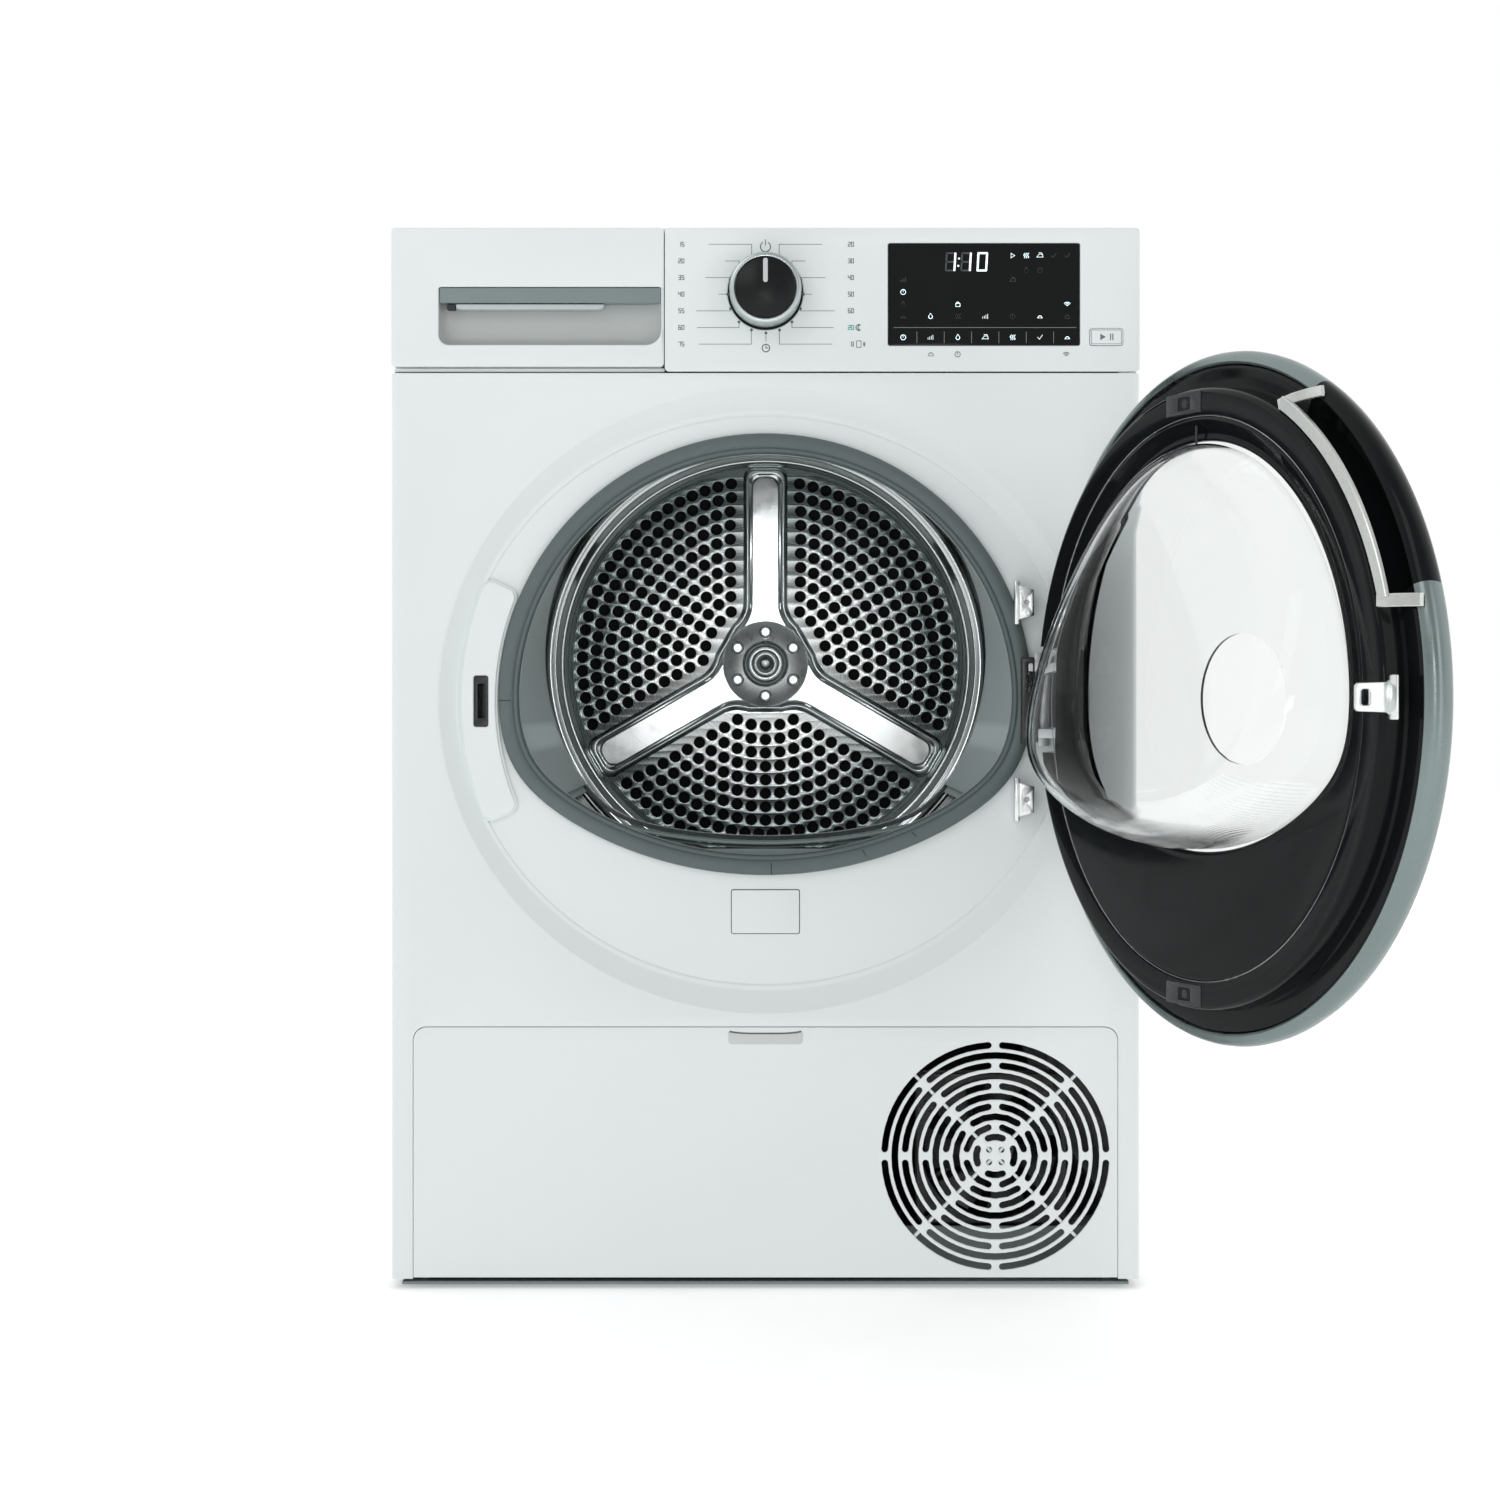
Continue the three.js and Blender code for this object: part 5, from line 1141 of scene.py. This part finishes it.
def add_display():
    glass_front = FRONT + 0.0002
    pane = plate([rounded(0.0979, 0.2505, 0.7522, 0.8334, 0.0013)], glass_front, FRONT + 0.0035, bevel=0.0005)
    add("display_pane", pane, "cabinet", display_glass, ["display_window"])
    y = glass_front - 0.00012
    lit_lines, dim_lines = [], []
    height = 0.0138
    for value, x, on in ((1, 0.1437, True), (1, 0.1560, True), (0, 0.1690, True), (8, 0.1437, False),
                         (8, 0.1560, False)):
        (lit_lines if on else dim_lines).extend(digit(value, x, 0.8118, height, 0.06))
    colon = [disc(0.1537 + 0.0006 * k, 0.8155 + 0.0058 * k, 0.0008, y) for k in (0, 1)]
    figures = strokes(lit_lines, 0.00155, y)
    ghosts = strokes(dim_lines, 0.0013, y + 0.00004)

    def wavy(x, z):
        return [[(x + dx + 0.0005 * math.sin(k), z - 0.002 + 0.0005 * k) for k in range(9)]
                for dx in (-0.0015, 0, 0.0015)]

    def play(x, z):
        return [[(x - 0.0012, z - 0.0018), (x + 0.0017, z), (x - 0.0012, z + 0.0018),
                 (x - 0.0012, z - 0.0018)]]

    def iron(x, z):
        return [[(x - 0.0024, z - 0.0012), (x + 0.0024, z - 0.0012), (x + 0.0020, z + 0.0010),
                 (x - 0.0006, z + 0.0012), (x - 0.0024, z - 0.0012)],
                [(x + 0.0018, z + 0.0012), (x + 0.0012, z + 0.0022), (x - 0.0008, z + 0.0022)]]

    def tick(x, z):
        return [[(x - 0.0018, z), (x - 0.0004, z - 0.0015), (x + 0.0020, z + 0.0018)]]

    def drop(x, z):
        return [[(x, z + 0.0024)] + arc(x, z - 0.0003, 0.0015, 30, -210, 14) + [(x, z + 0.0024)]]

    def dial(x, z):
        return [arc(x, z, 0.0020, 0, 360, 18), [(x, z), (x, z + 0.0013)]]

    def lock(x, z):
        body = rounded(x - 0.0017, x + 0.0017, z - 0.0018, z + 0.0006, 0.0003, 2)
        return [body + body[:1], arc(x, z + 0.0006, 0.0011, 0, 180, 8)]

    def wifi(x, z):
        return [arc(x, z - 0.0018, r, 45, 135, 8) for r in (0.0010, 0.0022, 0.0034)]

    def steps(x, z):
        return [[(x - 0.0020 + 0.0013 * k, z - 0.0016), (x - 0.0020 + 0.0013 * k, z - 0.0004 + 0.0007 * k)]
                for k in range(4)]

    def bell(x, z):
        return [[(x - 0.0020, z - 0.0012), (x + 0.0020, z - 0.0012)], arc(x, z - 0.0010, 0.0015, 0, 180, 10)]

    def column(index):
        return 0.1098 + index * 0.0218

    def height_of(row):
        return 0.8237 - row * 0.0097

    def icons(places):
        return [line for icon, across, down in places for line in icon(column(across), height_of(down))]

    lit_icons = icons(((play, 4, 0), (wavy, 4.5, 0), (iron, 5, 0), (dial, 0, 3), (lock, 2, 4), (wifi, 6, 4),
                       (drop, 1, 5), (steps, 3, 5), (bell, 5, 5)))
    dim_icons = icons(((tick, 5.5, 0), (tick, 6, 0), (drop, 4.5, 1.2), (dial, 5, 1.2), (steps, 0, 2),
                       (drop, 0, 4), (bell, 0, 5), (iron, 4, 2), (wavy, 2, 5), (dial, 4, 5), (lock, 6, 5)))
    row = 0.7585
    touch = []
    for index, shape in enumerate((dial, steps, drop, iron, wavy, tick, bell)):
        touch += shape(column(index), row)
    rules = [[(0.1023, 0.7663), (0.2477, 0.7663)]]
    rules += [[(column(index + 0.5), row - 0.0044), (column(index + 0.5), row + 0.0044)]
              for index in range(6)]
    add("display_figures", merged(figures, strokes(lit_icons, 0.00036, y), *colon), "cabinet", lamp_white)
    add("display_touch_row", strokes(touch, 0.00036, y), "cabinet", lamp_white)
    add("display_dim_icons", merged(ghosts, strokes(dim_icons, 0.00036, y)), "cabinet", lamp_dim)
    add("display_rules", strokes(rules, 0.00028, y), "cabinet", lamp_mid)


def add_start_button():
    x0, x1, z0, z1 = 0.2588, 0.2847, 0.7522, 0.7652
    cap = plate([rounded(x0, x1, z0, z1, 0.002)], FRONT - 0.0008, FRONT + 0.004, bevel=0.0007, rounds=3)
    add("start_cap", cap, "button", white_plastic, ["start_button"])
    z = (z0 + z1) / 2
    y = FRONT - 0.00088
    sign = strokes([[(0.2750, z - 0.0022), (0.2750, z + 0.0022)],
                    [(0.2768, z - 0.0022), (0.2768, z + 0.0022)]], 0.0009, y)
    arrow = bmesh.new()
    arrow.faces.new([arrow.verts.new((u, y, v)) for u,
                     v in ((0.2668, z - 0.0026), (0.2713, z), (0.2668, z + 0.0026))])
    edge = rounded(x0 + 0.0010, x1 - 0.0010, z0 + 0.0010, z1 - 0.0010, 0.0012, 4)
    ring = strokes([edge + edge[:1]], 0.00035, y)
    add("start_sign", merged(sign, arrow), "button", print_slate)
    add("start_outline", ring, "button", print_slate)


# ---------------------------------------------------------------- service flap
def grille_holes():
    """Outlines of the vent's slots: rings cut by four webs, which are slanting on every other ring."""
    x, z = FAN
    holes = []
    for i in range(11):
        radius = 0.08835 - 0.00813 * i
        start = 0 if i % 2 == 0 else 45
        web = 0.0058 if i % 2 == 0 else 0.0066
        span = math.pi / 2 - web / radius
        for k in range(4):
            middle = math.radians(start + 45 + 90 * k)
            if span * radius > 0.0056:
                holes.append(arc_slot(x, z, radius, 0.0053, middle, span, 5))
            else:
                holes.append(circle(x + radius * math.cos(middle), z + radius * math.sin(middle), 0.0024, 12))
    return holes


def add_flap():
    half, low, high, corner = 0.2808, 0.009, 0.2086, 0.0106
    arch = [point for point in reversed(rounded(-half, half, low - 0.02, high, corner)) if point[1] > low]
    outline = [(-half, low), *arch, (half, low)]
    board = plate([outline, *grille_holes()], FRONT, FRONT + 0.0024, bevel=0.0008, rounds=3)
    inner = [(u * (half - 0.0026) / half, low + 0.0015 + (v - low) * (high - low - 0.004) / (high - low))
             for u, v in outline]
    walls = plate([[(u * (half - 0.0002) / half, v) for u, v in outline], inner], FRONT + 0.002,
                  FRONT + 0.010, bevel=0.0003, rounds=1)
    ears = [block((min(side * 0.264, side * 0.269), max(side * 0.264, side * 0.269)),
                  (FRONT + 0.002, -0.2902), (0.0105, 0.019)) for side in (-1, 1)]
    x, z = FAN
    ribs = []
    for degrees in (45, 135):
        a = math.radians(degrees)
        rib = block((-0.091, 0.091), (FRONT + 0.0022, FRONT + 0.0075), (-0.0012, 0.0012), bevel=0.0004)
        ribs.append(moved(rib, Matrix.Rotation(-a, 4, "Y"), Matrix.Translation((x, 0, z))))
    collar = turned([(0.0935, FRONT + 0.0022), (0.0950, FRONT + 0.0022), (0.0950, FRONT + 0.0085),
                     (0.0935, FRONT + 0.0085), (0.0935, FRONT + 0.0022)], x, z, 96)
    back = [block((u - 0.0008, u + 0.0008), (FRONT + 0.0022, FRONT + 0.006), (0.02, 0.19), bevel=0.0003)
            for u in (-0.2, -0.12, -0.04, 0.04)]
    add("flap_panel", merged(board, walls, collar, *ears, *ribs, *back), "flap", white_paint,
        ["service_flap"])


def add_flap_tab():
    half, low, high = 0.0296, 0.195, 0.2048
    top = [(-half + 2 * half * i / 16, high - 0.0017 * (1 - (2 * i / 16 - 1) ** 4)) for i in range(17)]
    bottom = []
    for side in (1, -1):
        for i in range(6):
            a = math.radians(-90 * i / 5) if side == 1 else math.radians(-90 - 90 * i / 5)
            bottom.append((side * (half - 0.003) + 0.003 * math.cos(a), low + 0.003 + 0.003 * math.sin(a)))
    tab = plate([top + bottom], FRONT - 0.0009, FRONT + 0.0004, bevel=0.0005, rounds=3)
    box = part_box("flap_latch")
    stem = block((-half + 0.004, half - 0.004), (FRONT + 0.0002, box[1].y), (low + 0.002, high - 0.004))
    add("flap_tab_face", merged(tab, stem), "flap_tab", pale_white, ["flap_latch"])
    shade = [(-half + 0.001 + 2 * (half - 0.001) * i / 16,
              high + 0.0011 - 0.0017 * (1 - (2 * i / 16 - 1) ** 4)) for i in range(17)]
    lower = [(u, v - 0.0016) for u, v in reversed(shade)]
    add("flap_tab_shadow", plate([shade + lower], FRONT - 0.0002, FRONT + 0.0001, bevel=0.00005, rounds=1),
        "flap", dark_soft)


# ---------------------------------------------------------------- cooling fan behind the vent
# (share of the width, half thickness) of a fan blade
BLADE_SECTION = ((0, 0.0007), (0.25, 0.0011), (0.5, 0.0012), (0.75, 0.0010), (1, 0.0004))


def add_cooling_fan():
    x, z = FAN
    low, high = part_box("cooling_fan_frame")
    half = (high.x - low.x) / 2 - 0.0002
    cx, cz = (high.x + low.x) / 2, (high.z + low.z) / 2
    outline = rounded(cx - half, cx + half, cz - half, cz + half, 0.006)
    corners = [circle(cx + u * (half - 0.008), cz + v * (half - 0.008), 0.0022, 20) for u in (-1, 1)
               for v in (-1, 1)]
    bore = circle(x, z, 0.0568, 72)
    front = plate([outline, bore, *corners], low.y, low.y + 0.003, bevel=0.0005)
    back = plate([outline, bore, *corners], high.y - 0.003, high.y, bevel=0.0005)
    tube = turned([(0.0568, low.y + 0.001), (0.0582, low.y + 0.001), (0.0582, high.y - 0.001),
                   (0.0568, high.y - 0.001), (0.0568, low.y + 0.001)], x, z, 72)
    struts = []
    for degrees in (0, 90, 180, 270):
        a = math.radians(degrees + 30)
        strut = block((0.014, 0.0572), (high.y - 0.004, high.y - 0.001), (-0.0018, 0.0018), bevel=0.0005)
        struts.append(moved(strut, Matrix.Rotation(-a, 4, "Y"), Matrix.Translation((x, 0, z))))
    cup = turned([(0, high.y - 0.001), (0.0165, high.y - 0.001), (0.017, high.y - 0.0035),
                  (0, high.y - 0.0035)], x, z, 48)
    add("fan_frame", merged(front, back, tube, cup, *struts), "cabinet", black_plastic,
        ["cooling_fan_frame"])
    ilow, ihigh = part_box("cooling_fan_impeller")
    hub_r, tip = 0.019, (ihigh.x - ilow.x) / 2 - 0.0004
    hub = turned([(0, ilow.y + 0.0008), (hub_r - 0.003, ilow.y + 0.0008), (hub_r - 0.0008, ilow.y + 0.0016),
                  (hub_r, ilow.y + 0.004), (hub_r, ihigh.y - 0.001), (0, ihigh.y - 0.001)], x, z, 48)
    blades = []
    for k in range(7):
        turn = Matrix.Translation((x, 0, z)) @ Matrix.Rotation(2 * math.pi * k / 7, 4, "Y")
        rows = []
        for j in range(7):
            r = hub_r - 0.001 + (tip - hub_r + 0.001) * j / 6
            pitch = math.radians(46 - 20 * j / 6)
            sweep = 0.22 * (j / 6) ** 1.5
            chord = 0.020 + 0.016 * j / 6
            upper = [(s - 0.5, t) for s, t in BLADE_SECTION]
            lower = [(s - 0.5, -t) for s, t in reversed(BLADE_SECTION)]
            points = []
            for s, t in upper + lower:
                u, v = s * chord, t + 0.0025 * (1 - (2 * s) ** 2)
                across = u * math.cos(pitch) - v * math.sin(pitch)
                depth = u * math.sin(pitch) + v * math.cos(pitch)
                a = sweep + across / r
                y = (ilow.y + ihigh.y) / 2 + depth * 0.8
                points.append(turn @ Vector((r * math.sin(a), min(max(y, ilow.y + 0.0005), ihigh.y - 0.0005),
                                             r * math.cos(a))))
            rows.append(points)
        blades.append(skin(rows))
    add("fan_rotor", merged(hub, *blades), "cooling_fan", black_plastic,
        ["cooling_fan_impeller"], sharp=50)


def add_exchanger_cover():
    low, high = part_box("heat_exchanger_cover")
    back = high.y - 0.0022
    board = plate([rounded(low.x, high.x, low.z, high.z, 0.006)], back, high.y, bevel=0.0008)
    lip = plate([rounded(low.x, high.x, low.z, high.z, 0.006),
                 rounded(low.x + 0.004, high.x - 0.004, low.z + 0.004, high.z - 0.004, 0.004)], low.y,
                back + 0.0005, bevel=0.0008)
    ribs = [block((low.x + 0.02, high.x - 0.02), (back - 0.0018, back + 0.0004), (z - 0.0015, z + 0.0015),
                  bevel=0.0005) for z in (low.z + 0.030, (low.z + high.z) / 2, high.z - 0.030)]
    add("exchanger_lid", merged(board, lip, *ribs), "cabinet", pale_plastic,
        ["heat_exchanger_cover"])


# ---------------------------------------------------------------- door, drawn closed
GRIP = (121, 163)  # degrees round the door between which the rim gives way to the grip
FRAME = (0.227, 0.2205)  # half sizes of the raised inner frame
FLANGE_RIM = (0.2055, 0.2015)  # half sizes of the flange inside it


def rim(inset, t, half=DOOR):
    """The door's outline, inset and brought t forward of the cabinet's front, both in mm."""
    return ellipse(half, -inset / 1000, FRONT - t / 1000)


def carved(shape, *boxes):
    """The closed shape less some boxes (xs, ys, zs)."""
    for box in boxes:
        objects = []
        for solid in (shape, block(*box, 0)):
            mesh = bpy.data.meshes.new("solid")
            solid.to_mesh(mesh)
            solid.free()
            objects.append(bpy.data.objects.new("solid", mesh))
        cutter = objects[1]
        bpy.context.scene.collection.objects.link(cutter)
        step = objects[0].modifiers.new("cut", "BOOLEAN")
        step.object, step.operation, step.solver = cutter, "DIFFERENCE", "EXACT"
        shape = from_object(objects[0])
        bpy.data.objects.remove(cutter)
    return shape


def clock_angle(point):
    return math.degrees(math.atan2(point.z - OPENING_Z, point.x)) % 360


def hinge_notch():
    return ((0.198, 0.270), (FRONT - 0.033, FRONT + 0.02), (0.427, 0.511))


def add_door_ring():
    section = [(9.5, 18), (9, 16.2), (7.5, 15.6), (4, 17), (1.5, 19.2), (0.3, 21.5), (0, 24), (0.6, 28),
               (3, 33.5), (6.5, 37.2), (10, 39.3), (13, 40), (14, 39.7), (14, 37), (9, 35.5), (6, 31),
               (5.5, 24), (8, 19.5)]
    ring = carved(skin([rim(d, t) for d, t in section], ring=True), hinge_notch())
    for face in ring.faces:
        inside = GRIP[0] < clock_angle(face.calc_center_median()) < GRIP[1]
        face.material_index = 1 if inside else 0
    add("door_rim", ring, "door", [rim_silver, black_gloss], ["door_ring"], sharp=30)


def ribbon(path, width, thick):
    """A flat band along a path in X and Z, with rounded edges."""
    rows = []
    for i, point in enumerate(path):
        before, after = path[max(i - 1, 0)], path[min(i + 1, len(path) - 1)]
        along = (Vector(after) - Vector(before))
        along.y = 0
        along.normalize()
        across = Vector((-along.z, 0, along.x))
        out = Vector((0, 1, 0))
        row = []
        for u, v in ((-0.5, 0.3), (-0.42, 0.5), (0.42, 0.5), (0.5, 0.3), (0.5, -0.5), (-0.5, -0.5)):
            row.append(Vector(point) + across * u * width + out * v * thick)
        rows.append(row)
    return skin(rows)


def add_grip_trim():
    def at(x, z, t):
        return (x / 1000, FRONT - t / 1000, OPENING_Z + z / 1000)
    a, b = 232.3, 226
    arc_points = []
    for i in range(25):
        angle = math.radians(118.6 + (164.3 - 118.6) * i / 24)
        r = a * b / math.hypot(b * math.cos(angle), a * math.sin(angle))
        arc_points.append(at(r * math.cos(angle), r * math.sin(angle), 1.2))
    upper = [at(-136, 205.5, 15.5), at(-128, 204, 10), at(-118, 201.5, 4), at(-107, 198.5, 1.0)]
    lower = [at(-218, 61.8, 1.0), at(-232, 61.8, 5), at(-239, 61.8, 10), at(-244.5, 61.8, 15)]
    band = merged(ribbon(upper, 0.0075, 0.0030), ribbon(arc_points, 0.0095, 0.0030),
                  ribbon(lower, 0.0085, 0.0030))
    add("grip_trim", band, "door", trim_silver, sharp=30)


def add_door_back():
    def pocket(points, t, floor=31):
        """Points at distance t, or at the floor of the grip where the grip is, both in mm."""
        out = []
        for p in points:
            a = clock_angle(p)
            depth = floor if GRIP[0] + 1 < a < GRIP[1] - 1 else t
            out.append(Vector((p.x, FRONT - depth / 1000, p.z)))
        return out
    grip = [rim(9.6, 19), pocket(rim(10.6, 17.6), 17.6, 26), pocket(rim(13, 17), 17),
            pocket(rim(1.6, 17, (0.230, 0.2235)), 17)]
    inner_frame = [(-0.6, 15.6), (0, 14), (0, 1.8), (0.5, 0.2), (1.8, -1.2), (3.6, -1.9), (5, -2)]
    flange = [(-1.2, -2), (0, -1.7), (0.6, -0.6), (1.4, -0.4), (2.4, -1.2), (4, -1.5)]
    mouth = [(-8, 3.6), (-11, 3.4), (-13.2, 3.0), (-14.4, 3.4), (-15, 4.6), (-14.6, 8), (12, 34), (13, 34.6)]
    path = grip + [rim(d, t, FRAME) for d, t in inner_frame] + [rim(d, t, FLANGE_RIM) for d, t in flange]
    path += [opening(d / 1000, FRONT - t / 1000) for d, t in mouth] + [rim(16, 34.6), rim(12, 21)]
    shell = carved(skin(path, ring=True), hinge_notch())
    add("door_liner", shell, "door", black_gloss, ["door_inner_frame"], sharp=40)
    # a thin bar along the flange's seam, coloured light as a painted glint
    seam = bars([rim(0.9, -0.75, FLANGE_RIM)], 0.00035, closed=True, sides=1)
    add("door_seam_painted_glint", seam, "door", seam_painted_glint)
    clips, heads = [], []
    for side in (-1, 1):
        z = OPENING_Z + side * 0.2105
        clips.append(plate([rounded(-0.0135, 0.0325, z - 0.0078, z + 0.0078, 0.0012),
                            rounded(0.0005, 0.0165, z - 0.0045, z + 0.0045, 0.001)], FRONT + 0.0014,
                           FRONT + 0.0026, bevel=0.0004))
        head = turned([(0, 0.0001), (0.003, 0.0001), (0.0036, -0.0006), (0, -0.0006)], 0, 0, 24)
        heads.append(moved(head, Matrix.Translation((0.0085, FRONT + 0.0024, z))))
    add("door_clips", merged(*clips), "door", black_plastic)
    add("door_clip_screws", merged(*heads), "door", cast_metal)
    mark = block((-0.0062, -0.0040), (FRONT + 0.0002, FRONT + 0.0012),
                 (OPENING_Z + 0.1800, OPENING_Z + 0.1940), bevel=0.0004)
    add("door_slot_mark", mark, "door", dark_gap)


def add_door_glass():
    rows = [(14.4, 37.4), (14.4, 38.8), (15.2, 39.6), (40, 41), (80, 42.2), (140, 43.2), (200, 43.4)]
    back = [(200, 41.4), (140, 41.2), (80, 40.2), (40, 39), (16, 37.6)]
    pane = skin([rim(d, t) for d, t in rows + back])
    add("door_pane", pane, "door", glass, ["door_glass"], sharp=40)
    band = plate([flat(rim(14.6, 0)), flat(opening(0.0125, 0))], FRONT - 0.0368, FRONT - 0.0362, bevel=0.0001,
                 rounds=1)
    add("door_print", band, "door", black_gloss)


def add_door_bowl():
    count, skin_mm = 1080, 3.2
    outline = reach(OPENING, 0)

    def bowl_loop(inset, depth, scale=1.0, ripple=0.0):
        points = []
        for i in range(count):
            a = 2 * math.pi * (i + 0.5) / count
            base = outline(a)
            r = (base - inset / 1000) * scale
            low = max(0, min(1, (OPENING[0][1] - 0.017 - r * math.sin(a)) / 0.290))
            low = low * low * (3 - 2 * low)
            down = max(0, min(1, (-math.sin(a) - 0.30) * 4))
            wave = ripple * down * (0.5 + 0.5 * math.cos(math.pi / 2 * i))
            y = FRONT + 0.0002 + depth * (14 + 52 * low) / 1000
            points.append(Vector((r * math.cos(a), y - wave * 0.5, OPENING_Z + (r + wave) * math.sin(a))))
        return points

    outer, inner = [], []
    for k in range(13):
        phi = math.pi / 2 * k / 12
        inset, depth = 16.5 + 33 * (1 - math.cos(phi)) ** 1.15, math.sin(phi) ** 1.1
        ripple = 0.0007 if 2 < k < 11 else 0
        outer.append(bowl_loop(inset, depth * 0.96 - 0.10 * (1 - depth), 1.0, ripple))
        inner.append([p - Vector((0, skin_mm / 1000, 0)) + (Vector((0, p.y, OPENING_Z)) - p) * 0.018
                      for p in bowl_loop(inset, depth * 0.96 - 0.10 * (1 - depth))])
    for scale in (0.98, 0.9, 0.75, 0.55, 0.3, 0.05):
        outer.append(bowl_loop(49.5, 0.96, scale))
        inner.append([p - Vector((0, skin_mm / 1000, 0)) for p in bowl_loop(49.5, 0.96, scale * 0.982)])
    bowl = skin(outer[::-1] + inner)
    add("door_bowl_glass", bowl, "door", glass, ["door_bowl"], sharp=60)


def add_hook():
    y0, y1, z0, z1 = FRONT - 0.0045, RECESS_Y + 0.0138, 0.4597, 0.4783
    tongue = [(u, v) for u, v in rounded(y0 + 0.008, y1, z0, z1, 0.0035) if u > y0 + 0.012]
    root = y0 + 0.005
    outline = [(y0, z0 - 0.0035), (root, z0 - 0.0005), *tongue, (root, z1 + 0.0005), (y0, z1 + 0.0035)]
    hole = rounded(RECESS_Y + 0.0025, RECESS_Y + 0.0092, 0.4640, 0.4740, 0.0018)
    sheet = plate([outline, hole], 0.2258, 0.2288, bevel=0.0008, rounds=3)
    sheet = moved(sheet, Matrix.Rotation(math.pi / 2, 4, "Z"))
    base = block((-0.236, -0.2245), (FRONT - 0.0047, FRONT - 0.0018), (0.4545, 0.4835), bevel=0.001)
    add("door_hook_plate", merged(sheet, base), "door", bright_metal, ["door_hook"])


# ---------------------------------------------------------------- the rest keeps its shape from the frame
def coat_frame():
    coat({"base_chassis": grey_base, "rear_panel": zinc, "control_board": board_green,
          "rear_bearing_bar": zinc, "tank_tray": pale_plastic, "motor_housing": cast_metal,
          "fan_housing": grey_plastic, "evaporator": fins, "condenser": fins, "compressor": cast_metal,
          "condensate_pump": black_plastic, "mains_inlet": black_plastic, "drive_belt": belt_rubber,
          "water_tank": tank_plastic, "tank_lid": tank_plastic, "motor_shaft": bright_metal,
          "process_impeller": grey_plastic, "idler_arm": zinc, "idler_pulley": black_plastic,
          "left_support_roller": black_plastic, "right_support_roller": black_plastic,
          "left_cover_latch": grey_plastic, "right_cover_latch": grey_plastic,
          "door_hinge_leaf": cast_metal,})


# ---------------------------------------------------------------- build
set_camera()
set_lights()
set_floor()
add_front_panel()
add_small_cover()
add_side_panels()
add_worktop()
add_back()
add_feet()
add_bulkhead()
add_seal()
add_latch_plate()
add_hinge_bracket()
add_lint_filter()
add_drum_rear_wall()
add_drum_star()
add_drum_hub()
add_drum_shell()
add_fascia()
add_drawer()
add_knob()
add_legend()
add_display()
add_start_button()
add_flap()
add_flap_tab()
add_cooling_fan()
add_exchanger_cover()
add_door_ring()
add_grip_trim()
add_door_back()
add_door_glass()
add_door_bowl()
add_hook()
coat_frame()
